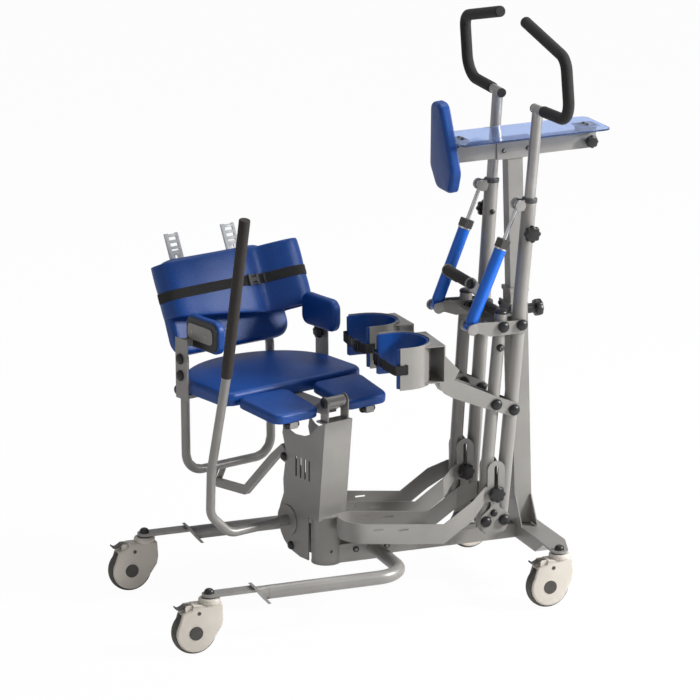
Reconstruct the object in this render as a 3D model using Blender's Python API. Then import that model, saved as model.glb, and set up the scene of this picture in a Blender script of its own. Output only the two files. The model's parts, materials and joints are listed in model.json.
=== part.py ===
"""Standing frame: a caster base, a mast with chest pad and tray, two swinging glider
sides with hand grips, knee cups and foot baskets, and a swivel seat that lifts.

Metres, +Z up, +X towards the mast, +Y to the left of someone who faces the mast."""
import math

import bpy
import bmesh
from mathutils import Matrix, Vector

# Clearances
GAP = 0.0003
RUNNING_GAP = 0.0003
SHEET = 0.004

# Casters
WHEEL_RADIUS = 0.0625
WHEEL_WIDTH = 0.030
COWL_WIDTH = 0.046
COWL_TOP = 0.140
AXLE_RADIUS = 0.0045
STEM_RADIUS = 0.006
STEM_LENGTH = 0.014
REAR_CASTER_X = -0.500
FRONT_CASTER_X = 0.522
CASTER_Y = 0.281
REAR_TRAIL = 0.045
FRONT_TRAIL = 0.036

# Caps, pins and knobs
CAP_RADIUS = 0.0125
CAP_HEIGHT = 0.012
PIN_RADIUS = 0.008
KNOB_RADIUS = 0.022
KNOB_HEIGHT = 0.015

# Rear leg frame
LEG_TUBE_RADIUS = 0.019
LEG_TUBE_Z = 0.146
LEG_BEND_RADIUS = 0.085
LEG_CROSS_X = 0.070
LEG_END_X = -0.352
TAB_BOTTOM = 0.156
TAB_THICKNESS = 0.008
TAB_HALF_WIDTH = 0.020

# Front frame
BEAM_HALF_WIDTH = 0.020
BEAM_BOTTOM = 0.120
BEAM_HEIGHT = 0.040
CROSS_X = (0.504, 0.572)
CROSS_BOTTOM = 0.118
CROSS_TOP = 0.155
CROSS_HALF_LENGTH = 0.219
FOOT_PLATE_THICKNESS = 0.006

# Swivel hub
HUB_X = -0.061
HUB_RADIUS = 0.041
HUB_BOTTOM = 0.112
HUB_TOP = 0.240
SPINDLE_RADIUS = 0.012
CHANNEL_X = (-0.006, 0.126)

# Mast
MAST_FOOT_X = 0.524
MAST_LEAN = -1.575
MAST_DEPTH = 0.051
MAST_WIDTH = 0.055
MAST_WALL = 0.003
MAST_LENGTH = 0.690
UPPER_DEPTH = 0.044
UPPER_WIDTH = 0.040
UPPER_START = 0.450
SLEEVE_BOTTOM = 1.060
SLEEVE_HALF_LENGTH = 0.056
SLEEVE_WALL = 0.0035
ARM_BEAM_Z = 1.087
ARM_BEAM_HALF_HEIGHT = 0.0205
ARM_BEAM_HALF_WIDTH = 0.022
ARM_BEAM_X = (-0.186, 0.2425)
TRAY_X = (-0.189, 0.261)
TRAY_HALF_WIDTH = 0.090
TRAY_THICKNESS = 0.005
TRAY_LIFT = 0.018
PAD_LEAN = -3.5

# Glider sides
GLIDE_PIVOT = (0.462, 0.1235, 0.777)
SPLAY = 1.5
TUBE_LEAN = 4.5
TUBE_SPACING = 0.055
FRONT_TUBE_RADIUS = 0.0175
HANDLE_TUBE_RADIUS = 0.0195
KNEE_DROP_FRONT = 0.222
KNEE_DROP_REAR = 0.243
FOOT_DROP = 0.562
TUBE_END = 0.0225
FRONT_TUBE_TOP = 0.037
COLLAR_HEIGHT = 0.351
STEM_TUBE_RADIUS = 0.015
STEM_TOP = 0.597
STEM_START = 0.170
PLATE_GAP = 0.0205
SHOCK_BASE_X = -0.146
SHOCK_TOP = (-0.033, 0.334)
SHOCK_RADIUS = 0.0168
SHOCK_BODY_END = 0.234
GLAND_LENGTH = 0.026
ROD_RADIUS = 0.0055
GRIP_RADIUS = 0.0155
BAR_RADIUS = 0.0125

# Knee cups
CUP_RADIUS = 0.083
CUP_WALL = 0.003
CUP_PAD = 0.009
CUP_BOTTOM = -0.135
CUP_HEIGHT = 0.119
CUP_LIP_X = -0.378
CUP_STRAIGHT = 0.032
CUP_OFFSET = -0.0075

# Foot baskets
BASKET_HALF_WIDTH = 0.0585
BASKET_WALL = 0.003
BASKET_HEIGHT = 0.057
BASKET_HEEL_X = -0.527
BASKET_BEND_X = -0.237
BASKET_TOP = -0.514
BASKET_SLOPE = 0.12
BASKET_RISE = 0.67
BASKET_OFFSET = -0.0025

# Seat, measured from the swivel axis: forward, left, up
SEAT_HEADING = -74.0
COLUMN_HALF_WIDTH = 0.0465
LIFT_PIVOT = (0.045, 0.585)
BACK_PIVOT = (-0.465, 0.532)
LINK_PIVOT = (-0.500, 0.226)
BACK_LEG_L = 0.148
BACK_TUBE_RADIUS = 0.0125
BACK_LEAN = 24.0
BACK_FOOT = (-0.452, 0.630)
BOARD_HALF_WIDTH = 0.197
BOARD_HEIGHT = 0.276
BOARD_THICKNESS = 0.036
SEAT_TOP = 0.606
SEAT_THICKNESS = 0.040
SEAT_HALF_WIDTH = 0.240
SEAT_FRONT = -0.135
SEAT_STRAIGHT = -0.280
SEAT_REAR = -0.480
THIGH_INNER = 0.042
THIGH_OUTER = 0.213
THIGH_FRONT = 0.040
THIGH_BACK = -0.131
THIGH_TOP = 0.599
THIGH_TILT = 7.6
POST_L = 0.2415
POST_F = -0.340
LEVER_AXIS = (-0.115, 0.213)
LEVER_L = -0.302
LEVER_TUBE_RADIUS = 0.0125

# Colours as red, green, blue with roughness and metallic
GREY_PAINT = ((0.24, 0.24, 0.235), 0.42, 0.35)
BRIGHT_STEEL = ((0.50, 0.50, 0.50), 0.28, 0.90)
BLUE_VINYL = ((0.010, 0.062, 0.330), 0.50, 0.0)
BLUE_PAINT = ((0.006, 0.110, 0.560), 0.30, 0.1)
BLACK_PLASTIC = ((0.018, 0.018, 0.020), 0.45, 0.0)
BLACK_FOAM = ((0.022, 0.020, 0.019), 0.85, 0.0)
CREAM_PLASTIC = ((0.62, 0.58, 0.53), 0.45, 0.0)
TYRE_GREY = ((0.060, 0.057, 0.053), 0.70, 0.0)
CLEAR_BLUE = ((0.20, 0.34, 0.85), 0.10, 0.0)

X_AXIS = Vector((1, 0, 0))
Y_AXIS = Vector((0, 1, 0))
Z_AXIS = Vector((0, 0, 1))
IDENTITY = Matrix.Identity(4)
placed = {}


def at(x, y, z):
    return Matrix.Translation((x, y, z))


def spin(axis, degrees):
    return Matrix.Rotation(math.radians(degrees), 4, axis)


# Points and outlines

def arc(centre, radius, start, end, steps):
    """Points on an arc in a plane, angles in degrees."""
    points = []
    for i in range(steps + 1):
        angle = math.radians(start + (end - start) * i / steps)
        points.append((centre[0] + radius * math.cos(angle), centre[1] + radius * math.sin(angle)))
    return points


def circle(centre, radius, sides):
    return arc(centre, radius, 0, 360 - 360 / sides, sides - 1)


def filleted(corners, radius, steps=3, closed=True):
    """Rounds the corners of a chain of 2-D or 3-D points."""
    points = [Vector(c) for c in corners]
    count = len(points)
    result = []
    for i, corner in enumerate(points):
        if not closed and i in (0, count - 1):
            result.append(corner.copy())
            continue
        back = points[i - 1] - corner
        ahead = points[(i + 1) % count] - corner
        angle = back.angle(ahead)
        size = radius[i] if isinstance(radius, (list, tuple)) else radius
        if angle > math.pi - 0.02 or size == 0:
            result.append(corner.copy())
            continue
        reach = min(size / math.tan(angle / 2), back.length * 0.49, ahead.length * 0.49)
        size = reach * math.tan(angle / 2)
        centre = corner + (back.normalized() + ahead.normalized()).normalized() * (size / math.sin(angle / 2))
        first = corner + back.normalized() * reach - centre
        last = corner + ahead.normalized() * reach - centre
        sweep = first.angle(last)
        for k in range(steps + 1):
            t = k / steps
            a = math.sin((1 - t) * sweep) / math.sin(sweep)
            b = math.sin(t * sweep) / math.sin(sweep)
            result.append(centre + first * a + last * b)
    return result


def smooth_path(corners, steps=4):
    """A curve through all its points."""
    points = [Vector(c) for c in corners]
    ends = [points[0] * 2 - points[1]] + points + [points[-1] * 2 - points[-2]]
    result = []
    for i in range(len(points) - 1):
        a, b, c, d = ends[i:i + 4]
        for k in range(steps):
            t = k / steps
            result.append(0.5 * (2 * b + (c - a) * t + (2 * a - 5 * b + 4 * c - d) * t ** 2
                                 + (3 * b - a - 3 * c + d) * t ** 3))
    result.append(points[-1])
    return result


# Solids

def solid(bm, frame=IDENTITY):
    """A temporary object with its faces pointing out."""
    bmesh.ops.recalc_face_normals(bm, faces=bm.faces)
    mesh = bpy.data.meshes.new("solid")
    bm.to_mesh(mesh)
    bm.free()
    mesh.transform(frame)
    obj = bpy.data.objects.new("solid", mesh)
    bpy.context.scene.collection.objects.link(obj)
    return obj


def loft(rings, closed_ring=False, frame=IDENTITY):
    """Joins rings of points, with flat ends or closed round on itself. A ring of one point is a tip."""
    bm = bmesh.new()
    loops = [[bm.verts.new(p) for p in ring] for ring in rings]
    pairs = list(zip(loops, loops[1:]))
    if closed_ring:
        pairs.append((loops[-1], loops[0]))
    for low, high in pairs:
        count = max(len(low), len(high))
        for i in range(count):
            j = (i + 1) % count
            if len(low) == 1:
                bm.faces.new((low[0], high[i], high[j]))
            elif len(high) == 1:
                bm.faces.new((low[i], low[j], high[0]))
            else:
                bm.faces.new((low[i], low[j], high[j], high[i]))
    if not closed_ring:
        for ring in (loops[0], loops[-1]):
            if len(ring) > 2:
                bm.faces.new(ring)
    return solid(bm, frame)


def prism(outline, low, high, plane="xz", frame=IDENTITY):
    """An outline in the named plane, extruded from low to high along the third axis."""
    place = {
        "xy": lambda u, v, w: (u, v, w),
        "xz": lambda u, v, w: (u, w, v),
        "yz": lambda u, v, w: (w, u, v),
    }[plane]
    rings = [[place(p[0], p[1], w) for p in outline] for w in (low, high)]
    return loft(rings, frame=frame)


def box(x, y, z, frame=IDENTITY):
    corners = [(x[0], y[0]), (x[1], y[0]), (x[1], y[1]), (x[0], y[1])]
    return prism(corners, z[0], z[1], "xy", frame)


def facing(point, direction):
    """A frame at a point with its Z along a direction."""
    turn = Vector(direction).to_track_quat("Z", "Y").to_matrix().to_4x4()
    return Matrix.Translation(point) @ turn


def turned(profile, point, direction, sides=12, frame=IDENTITY):
    """Radius and height pairs turned round an axis, closed at both ends."""
    rings = []
    for radius, height in profile:
        if radius == 0:
            rings.append([(0, 0, height)])
        else:
            rings.append([(u, v, height) for u, v in circle((0, 0), radius, sides)])
    return loft(rings, frame=frame @ facing(point, direction))


def ring_solid(profile, point, direction, sides, frame=IDENTITY):
    """A closed radius and height loop turned round an axis, such as a tyre."""
    rings = []
    for i in range(sides):
        angle = math.radians(90 + 360 * i / sides)
        rings.append([(r * math.cos(angle), r * math.sin(angle), h) for r, h in profile])
    return loft(rings, True, frame @ facing(point, direction))


def clear_of(radius, sides=8):
    """Radius of a faceted hole in which a round pin of this radius turns freely."""
    return (radius + RUNNING_GAP) / math.cos(math.pi / sides)


def rod(start, end, radius, sides=12, frame=IDENTITY):
    start, end = Vector(start), Vector(end)
    return turned([(radius, 0), (radius, (end - start).length)], start, end - start, sides, frame)


def dome(point, direction, radius=CAP_RADIUS, height=CAP_HEIGHT, sides=8, frame=IDENTITY):
    profile = [(radius, -0.0005), (radius * 0.93, height * 0.55), (radius * 0.45, height)]
    return turned(profile, point, direction, sides, frame)


def star_knob(point, direction, neck, radius=KNOB_RADIUS, height=KNOB_HEIGHT, frame=IDENTITY):
    """A neck and a head with six lobes."""
    rim = []
    for i in range(12):
        angle = 2 * math.pi * i / 12
        rim.append((math.cos(angle), math.sin(angle), 0.92 + 0.08 * math.cos(6 * angle)))
    rings = []
    for share, level in ((0.94, 0), (1.0, 0.75), (0.80, 1.0)):
        rings.append([(c * s * radius * share, d * s * radius * share, neck + height * level) for c, d, s in rim])
    place = frame @ facing(point, direction)
    return [loft(rings, frame=place), rod((0, 0, -0.0005), (0, 0, neck + 0.002), radius * 0.5, 10, place)]


def tube(path, radius, sides=12, frame=IDENTITY):
    """A round section carried along a chain of points without twist."""
    points = [Vector(p) for p in path]
    directions = []
    for i, point in enumerate(points):
        before = points[max(i - 1, 0)]
        after = points[min(i + 1, len(points) - 1)]
        directions.append((after - before).normalized())
    side = directions[0].orthogonal().normalized()
    rings = []
    for i, point in enumerate(points):
        if i:
            side = directions[i - 1].rotation_difference(directions[i]) @ side
        across = directions[i].cross(side).normalized()
        stretch = 1.0
        if 0 < i < len(points) - 1:
            turn = (points[i] - points[i - 1]).angle(points[i + 1] - points[i])
            stretch = 1 / max(math.cos(turn / 2), 0.5)
        axis = Vector((0, 0, 0))
        if stretch > 1.0001:
            axis = ((points[i + 1] - points[i]).normalized() - (points[i] - points[i - 1]).normalized()).normalized()
        ring = []
        for k in range(sides):
            angle = 2 * math.pi * k / sides
            offset = side * math.cos(angle) + across * math.sin(angle)
            offset = offset + axis * offset.dot(axis) * (stretch - 1)
            ring.append(point + offset * radius)
        rings.append(ring)
    return loft(rings, frame=frame)


def band(path, section, frame=IDENTITY):
    """A section of offset and height pairs carried along a plan path."""
    points = [Vector((p[0], p[1])) for p in path]
    rings = []
    for i, point in enumerate(points):
        before = points[max(i - 1, 0)]
        after = points[min(i + 1, len(points) - 1)]
        along = (after - before).normalized()
        normal = Vector((along.y, -along.x))
        rings.append([(point.x + normal.x * s, point.y + normal.y * s, h) for s, h in section(point.x)])
    return loft(rings, frame=frame)


def inset(outline, distance):
    """Moves an outline inwards along its corner normals."""
    points = [Vector((p[0], p[1])) for p in outline]
    area = sum(a.x * b.y - a.y * b.x for a, b in zip(points, points[1:] + points[:1]))
    turn = 1 if area > 0 else -1
    moved = []
    for i, point in enumerate(points):
        along = (points[(i + 1) % len(points)] - points[i - 1]).normalized()
        moved.append((point.x - along.y * turn * distance, point.y + along.x * turn * distance))
    return moved


def cushion(outline, thickness, crown, plane="xy", frame=IDENTITY, edge=0.010):
    """An upholstered pad: drawn in at its base, rounded at its edge and crowned on top."""
    place = {"xy": lambda u, v, w: (u, v, w), "yz": lambda u, v, w: (w, u, v)}[plane]
    levels = (
        (edge * 0.5, 0),
        (0, thickness * 0.30),
        (0, thickness * 0.62),
        (edge * 0.45, thickness * 0.90),
        (edge * 1.3, thickness),
        (edge * 2.4, thickness + crown),
    )
    rings = [[place(u, v, w) for u, v in inset(outline, d)] for d, w in levels]
    return loft(rings, frame=frame)


# Assembly

def attach(obj, frame, carrier):
    """Places an object or an axis in the world, under the axis that carries it."""
    bpy.context.scene.collection.objects.link(obj)
    if carrier is None:
        obj.matrix_world = frame
    else:
        obj.parent = carrier
        obj.matrix_local = placed[carrier.name].inverted() @ frame
    placed[obj.name] = frame
    return obj


def joint_axis(name, frame, direction, carrier):
    """An empty whose Z lies on a joint's axis."""
    heading = (frame.to_3x3() @ Vector(direction)).normalized()
    empty = bpy.data.objects.new(name, None)
    empty.empty_display_size = 0.04
    return attach(empty, facing(frame.translation, heading), carrier)


def finish(obj, colour):
    material = bpy.data.materials.new(obj.name + "_finish")
    material.use_nodes = True
    shader = material.node_tree.nodes["Principled BSDF"]
    shader.inputs["Base Color"].default_value = (*colour[0], 1)
    shader.inputs["Roughness"].default_value = colour[1]
    shader.inputs["Metallic"].default_value = colour[2]
    obj.data.materials.clear()
    obj.data.materials.append(material)


def assemble(name, solids, colour, carrier, frame=IDENTITY, holes=(), inserts=(), bores=()):
    """Unites solids, cuts the holes, adds what sits in the cuts and leaves one named piece."""
    body = solids[0]
    steps = [("UNION", other) for other in solids[1:]]
    steps += [("DIFFERENCE", hole) for hole in holes]
    steps += [("UNION", insert) for insert in inserts]
    steps += [("DIFFERENCE", bore) for bore in bores]
    for operation, other in steps:
        change = body.modifiers.new("change", "BOOLEAN")
        change.operation = operation
        change.object = other
    bpy.context.view_layer.update()
    evaluated = body.evaluated_get(bpy.context.evaluated_depsgraph_get())
    mesh = bpy.data.meshes.new_from_object(evaluated)
    for used in [*solids, *holes, *inserts, *bores]:
        bpy.data.objects.remove(used)
    bm = bmesh.new()
    bm.from_mesh(mesh)
    bmesh.ops.remove_doubles(bm, verts=bm.verts, dist=0.00001)
    bmesh.ops.dissolve_degenerate(bm, edges=bm.edges, dist=0.00001)
    bm.to_mesh(mesh)
    bm.free()
    mesh.shade_smooth()
    mesh.set_sharp_from_angle(angle=math.radians(32))
    obj = attach(bpy.data.objects.new(name, mesh), frame, carrier)
    finish(obj, colour)
    return obj


# Casters

def caster(name, x, y, trail, seat_z, base):
    """A cowled swivel caster with a wheel and a brake pedal."""
    stem = at(x, y, 0)
    swivel = joint_axis(name + "_swivel", stem, Z_AXIS, base)
    hub = (-trail, WHEEL_RADIUS)
    half = COWL_WIDTH / 2
    slot_radius = WHEEL_RADIUS + 0.0035
    slot_half = WHEEL_WIDTH / 2 + 0.0015
    shoulder = COWL_TOP - 0.012
    outline = arc(hub, WHEEL_RADIUS - 0.0085, 150, 325, 8)
    outline += [(0.030, 0.076), (0.034, 0.098), (0.031, COWL_TOP)]
    outline += [(-trail - 0.008, COWL_TOP), (-trail - 0.011, shoulder), (-trail - 0.036, shoulder - 0.008)]
    boss_top = seat_z - GAP
    hinge = (-trail - 0.020, COWL_TOP - 0.0045)
    ear = [(hinge[0] - 0.007, shoulder - 0.008), (hinge[0] - 0.007, COWL_TOP), (hinge[0] + 0.012, COWL_TOP)]
    ear.append((hinge[0] + 0.012, shoulder - 0.008))
    solids = [prism(outline, -half, half)]
    solids.append(turned([(0.029, COWL_TOP - 0.002), (0.029, boss_top - 0.004), (0.025, boss_top)],
                         (0, 0, 0), Z_AXIS, 16))
    solids.append(rod((0, 0, boss_top - 0.001), (0, 0, seat_z + STEM_LENGTH - 0.001), STEM_RADIUS, 10))
    holes = [prism(circle(hub, slot_radius, 18), -slot_half, slot_half)]
    for side in (-1, 1):
        solids.append(rod((hub[0], side * (half - 0.001), hub[1]), (hub[0], side * (half + 0.0015), hub[1]), 0.0185, 12))
        solids.append(rod((hub[0] + 0.0095, side * (half - 0.001), 0.1175),
                          (hub[0] + 0.0095, side * (half + 0.001), 0.1175), 0.005, 8))
        inner, outer = sorted((side * 0.0125, side * 0.0165))
        solids.append(prism(ear, inner, outer))
    holes.append(rod((hinge[0], -half, hinge[1]), (hinge[0], half, hinge[1]), clear_of(0.0030, 8), 8))
    axle = rod((hub[0], -half, hub[1]), (hub[0], half, hub[1]), AXLE_RADIUS, 10)
    assemble(name + "_fork", solids, CREAM_PLASTIC, swivel, stem, holes, [axle])

    turning = joint_axis(name + "_wheel_axis", stem @ at(hub[0], 0, hub[1]), Y_AXIS, swivel)
    w = WHEEL_WIDTH / 2
    bore = clear_of(AXLE_RADIUS, 22)
    tread = [(bore, -w), (WHEEL_RADIUS - 0.007, -w), (WHEEL_RADIUS, -w * 0.55)]
    tread += [(WHEEL_RADIUS, w * 0.55), (WHEEL_RADIUS - 0.007, w), (bore, w)]
    wheel = ring_solid(tread, (0, 0, 0), Y_AXIS, 22)
    assemble(name + "_wheel", [wheel], TYRE_GREY, turning, stem @ at(hub[0], 0, hub[1]))

    pressing = joint_axis(name + "_pedal_axis", stem @ at(hinge[0], 0, hinge[1]), Y_AXIS, swivel)
    shape = [(0.0065, -0.0045), (0.0065, 0.0055), (-0.009, 0.0055), (-0.016, 0.0015), (-0.026, 0.0)]
    shape += [(-0.031, 0.003), (-0.033, 0.001), (-0.030, -0.006), (-0.020, -0.010), (-0.012, -0.008)]
    shape.append((-0.008, -0.0045))
    pedal = [prism(shape, -0.0115, 0.0115), rod((0, -0.0160, 0), (0, 0.0160, 0), 0.003, 8)]
    assemble(name + "_pedal", pedal, BLACK_PLASTIC, pressing, stem @ at(hinge[0], 0, hinge[1]))


# Base

def rear_leg_frame(base):
    """A U-shaped tube with a tab and a stem socket at each rear caster."""
    z = LEG_TUBE_Z
    start = LEG_END_X - 0.035
    path = [(start, -CASTER_Y, z), (LEG_CROSS_X, -CASTER_Y, z), (LEG_CROSS_X, CASTER_Y, z), (start, CASTER_Y, z)]
    solids = [tube(filleted(path, LEG_BEND_RADIUS, 5, False), LEG_TUBE_RADIUS, 12)]
    wedges, inserts, bores = [], [], []
    top = TAB_BOTTOM + TAB_THICKNESS
    for side in (-1, 1):
        y = side * CASTER_Y
        wedge = [(-0.45, 0.10), (-0.338, 0.10), (-0.338, 0.121), (-0.3795, 0.172), (-0.45, 0.172)]
        wedges.append(prism(wedge, y - 0.04, y + 0.04))
        plate = [(-0.3815, 0.170), (-0.3725, 0.1705), (-0.3315, 0.120), (-0.340, 0.1195)]
        inserts.append(prism(plate, y - 0.0235, y + 0.0235))
        end = arc((REAR_CASTER_X, y), TAB_HALF_WIDTH, 90, 270, 8)
        outline = [*end, (-0.372, y - TAB_HALF_WIDTH), (-0.372, y + TAB_HALF_WIDTH)]
        inserts.append(prism(outline, TAB_BOTTOM, top, "xy"))
        inserts.append(dome((REAR_CASTER_X, y, top), Z_AXIS, CAP_RADIUS, 0.013))
        bores.append(rod((REAR_CASTER_X, y, TAB_BOTTOM - 0.01), (REAR_CASTER_X, y, TAB_BOTTOM + STEM_LENGTH),
                         clear_of(STEM_RADIUS, 10), 10))
    assemble("rear_leg_frame", solids, GREY_PAINT, base, IDENTITY, wedges, inserts, bores)


def hub_bracket(base):
    """The swivel hub with the channel that clamps the rear tube and the front beam."""
    low, high = HUB_BOTTOM, LEG_TUBE_Z + LEG_TUBE_RADIUS
    solids = [rod((HUB_X, 0, low + 0.004), (HUB_X, 0, HUB_TOP), HUB_RADIUS, 22)]
    solids.append(rod((HUB_X, 0, low), (HUB_X, 0, low + 0.005), HUB_RADIUS + 0.001, 22))
    solids.append(box((HUB_X + 0.02, CHANNEL_X[1]), (-0.0295, 0.0295), (low + 0.0005, low + 0.0045)))
    for side in (-1, 1):
        inner, outer = sorted((side * 0.026, side * 0.030))
        solids.append(box((HUB_X + 0.02, CHANNEL_X[1]), (inner, outer), (low + 0.001, high)))
        for x in (0.016, 0.108):
            solids.append(dome((x, side * 0.0298, 0.147), Y_AXIS * side, 0.008, 0.006, 8))
    holes = [rod((LEG_CROSS_X, -0.04, LEG_TUBE_Z), (LEG_CROSS_X, 0.04, LEG_TUBE_Z), clear_of(LEG_TUBE_RADIUS, 16), 16)]
    holes.append(rod((HUB_X, 0, 0.160), (HUB_X, 0, HUB_TOP + 0.01), clear_of(SPINDLE_RADIUS, 16), 16))
    holes.append(rod((HUB_X, -0.05, 0.152), (HUB_X, -0.034, 0.152), 0.0045, 10))
    assemble("hub_bracket", solids, GREY_PAINT, base, IDENTITY, holes)


def front_frame(base):
    """The front beam, the cross beam and the plates over the front casters."""
    plate_low = CROSS_TOP
    plate_high = CROSS_TOP + FOOT_PLATE_THICKNESS
    solids = [box((0.0935, 0.510), (-BEAM_HALF_WIDTH, BEAM_HALF_WIDTH), (BEAM_BOTTOM, BEAM_BOTTOM + BEAM_HEIGHT))]
    solids.append(box((0.0945, 0.125), (-0.026 + GAP, 0.026 - GAP), (HUB_BOTTOM + 0.0045 + GAP, BEAM_BOTTOM + 0.038)))
    top = CROSS_HALF_LENGTH - 0.004
    section = [(-top, plate_low + 0.0015), (top, plate_low + 0.0015), (0.155, CROSS_BOTTOM), (-0.155, CROSS_BOTTOM)]
    solids.append(prism(section, CROSS_X[0], CROSS_X[1], "yz"))
    plate = arc((FRONT_CASTER_X, -CASTER_Y), 0.0245, 190, 350, 8)
    plate += [(CROSS_X[1] + 0.001, -0.205), (CROSS_X[1] + 0.001, 0.205)]
    plate += arc((FRONT_CASTER_X, CASTER_Y), 0.0245, 10, 170, 8)
    plate += [(CROSS_X[0] - 0.001, 0.205), (CROSS_X[0] - 0.001, -0.205)]
    solids.append(prism(plate, plate_low, plate_high, "xy"))
    bores = []
    for side in (-1, 1):
        y = side * CASTER_Y
        solids.append(dome((FRONT_CASTER_X, y, plate_high), Z_AXIS, CAP_RADIUS, 0.013))
        bores.append(rod((FRONT_CASTER_X, y, plate_low - 0.01), (FRONT_CASTER_X, y, plate_low + STEM_LENGTH),
                         clear_of(STEM_RADIUS, 10), 10))
    assemble("front_frame", solids, GREY_PAINT, base, IDENTITY, bores)


# Mast

MAST = at(MAST_FOOT_X, 0, CROSS_TOP) @ spin("Y", MAST_LEAN)
FOOT_Z = 0.0075


def mast_tube(base):
    """The hollow lower mast with gussets, a guide collar and a clamp knob."""
    x, y = MAST_DEPTH / 2, MAST_WIDTH / 2
    solids = [box((-x, x), (-y, y), (FOOT_Z, MAST_LENGTH))]
    solids.append(box((-x - 0.003, x + 0.003), (-y - 0.003, y + 0.003), (MAST_LENGTH - 0.008, MAST_LENGTH + 0.004)))
    for face in (-1, 1):
        for side in (-1, 1):
            near, far = sorted((face * 0.0220, face * 0.0250))
            gusset = [(side * 0.0268, FOOT_Z), (side * 0.070, FOOT_Z), (side * 0.070, FOOT_Z + 0.006)]
            gusset += [(side * 0.032, FOOT_Z + 0.082), (side * 0.0268, FOOT_Z + 0.082)]
            solids.append(prism(gusset, near, far, "yz"))
    solids += star_knob((x - 0.0005, 0, 0.623), X_AXIS, 0.032, 0.022, 0.020)
    holes = [box((-x + MAST_WALL, x - MAST_WALL), (-y + MAST_WALL, y - MAST_WALL), (-0.02, MAST_LENGTH - 0.010))]
    guide_x, guide_y = UPPER_DEPTH / 2 + RUNNING_GAP, UPPER_WIDTH / 2 + RUNNING_GAP
    holes.append(box((-guide_x, guide_x), (-guide_y, guide_y), (MAST_LENGTH - 0.020, MAST_LENGTH + 0.02)))
    assemble("mast_tube", solids, GREY_PAINT, base, MAST, holes)


def pad_frame():
    return MAST @ at(-0.1816, 0, 0.988) @ spin("Y", PAD_LEAN)


def mast_head(base):
    """The upper mast slides in the lower one, the arm in its sleeve and the tray on the arm."""
    raising = joint_axis("mast_height", MAST @ at(0, 0, UPPER_START), Z_AXIS, base)
    x, y = UPPER_DEPTH / 2, UPPER_WIDTH / 2
    half_y = ARM_BEAM_HALF_WIDTH + GAP
    half_z = ARM_BEAM_HALF_HEIGHT + GAP
    sleeve = (ARM_BEAM_Z - half_z - SLEEVE_WALL, ARM_BEAM_Z + half_z + SLEEVE_WALL)
    solids = [box((-x, x), (-y, y), (UPPER_START, sleeve[0] + 0.001))]
    solids.append(box((-SLEEVE_HALF_LENGTH, SLEEVE_HALF_LENGTH),
                      (-half_y - SLEEVE_WALL, half_y + SLEEVE_WALL), sleeve))
    for screw in (-0.036, 0.036):
        solids.append(dome((screw, -half_y - SLEEVE_WALL, ARM_BEAM_Z), -Y_AXIS, 0.006, 0.004, 8))
    holes = [box((-x + 0.003, x - 0.003), (-y + 0.003, y - 0.003), (UPPER_START - 0.01, sleeve[0] - 0.010))]
    holes.append(box((-0.08, 0.08), (-half_y, half_y), (ARM_BEAM_Z - half_z, ARM_BEAM_Z + half_z)))
    assemble("upper_mast", solids, GREY_PAINT, raising, MAST, holes)

    reaching = joint_axis("tray_reach", MAST @ at(0, 0, ARM_BEAM_Z), X_AXIS, raising)
    low, high = ARM_BEAM_Z - ARM_BEAM_HALF_HEIGHT, ARM_BEAM_Z + ARM_BEAM_HALF_HEIGHT
    solids = [box(ARM_BEAM_X, (-ARM_BEAM_HALF_WIDTH, ARM_BEAM_HALF_WIDTH), (low, high))]
    to_pad = MAST.inverted() @ pad_frame()
    solids.append(box((GAP, GAP + 0.005), (-0.018, 0.018), (0.070, 0.165), to_pad))
    solids += star_knob((0.222, -ARM_BEAM_HALF_WIDTH, ARM_BEAM_Z), -Y_AXIS, 0.012, 0.016, 0.012)
    assemble("tray_beam", solids, GREY_PAINT, reaching, MAST)

    corners = [(-0.045, 0), (0.045, 0), (0.0825, 0.062), (0.034, 0.252), (-0.034, 0.252), (-0.0825, 0.062)]
    pad = cushion(filleted(corners, 0.028, 4), 0.030, 0.004, "yz", spin("Z", 180))
    assemble("chest_pad", [pad], BLUE_VINYL, reaching, pad_frame())

    sliding = joint_axis("tray_slide", MAST @ at(0, 0, high + TRAY_LIFT), X_AXIS, reaching)
    corners = [(TRAY_X[0], -TRAY_HALF_WIDTH), (TRAY_X[1], -TRAY_HALF_WIDTH)]
    corners += [(TRAY_X[1], TRAY_HALF_WIDTH), (TRAY_X[0], TRAY_HALF_WIDTH)]
    under = high + TRAY_LIFT
    solids = [prism(filleted(corners, 0.022, 4), under, under + TRAY_THICKNESS, "xy")]
    for span in ((-0.166, -0.140), (0.197, 0.244)):
        solids.append(box(span, (-0.021, 0.021), (high + GAP, under + 0.001)))
        for y in (-0.012, 0.012):
            middle = (span[0] + span[1]) / 2
            solids.append(dome((middle, y, under + TRAY_THICKNESS), Z_AXIS, 0.004, 0.0025, 8))
    holes = [box((TRAY_X[0] - 0.01, -0.174), (-0.024, 0.024), (under - 0.01, under + 0.02))]
    assemble("tray", solids, CLEAR_BLUE, sliding, MAST, holes)


# Pivot yoke and grab bar

def side_frame(side):
    """Origin on the handle tube's pivot, splayed outwards towards the floor."""
    x, y, z = GLIDE_PIVOT
    return at(x, side * y, z) @ spin("X", -side * SPLAY)


def plate_pair(outline, frame=IDENTITY):
    """The same outline on both sides of a tube."""
    return [prism(outline, *sorted((side * PLATE_GAP, side * (PLATE_GAP + SHEET))), "xz", frame) for side in (-1, 1)]


def cross_rod(x, z, radius, frame=IDENTITY, half=0.05, sides=8):
    return rod((x, -half, z), (x, half, z), radius, sides, frame)


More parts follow.
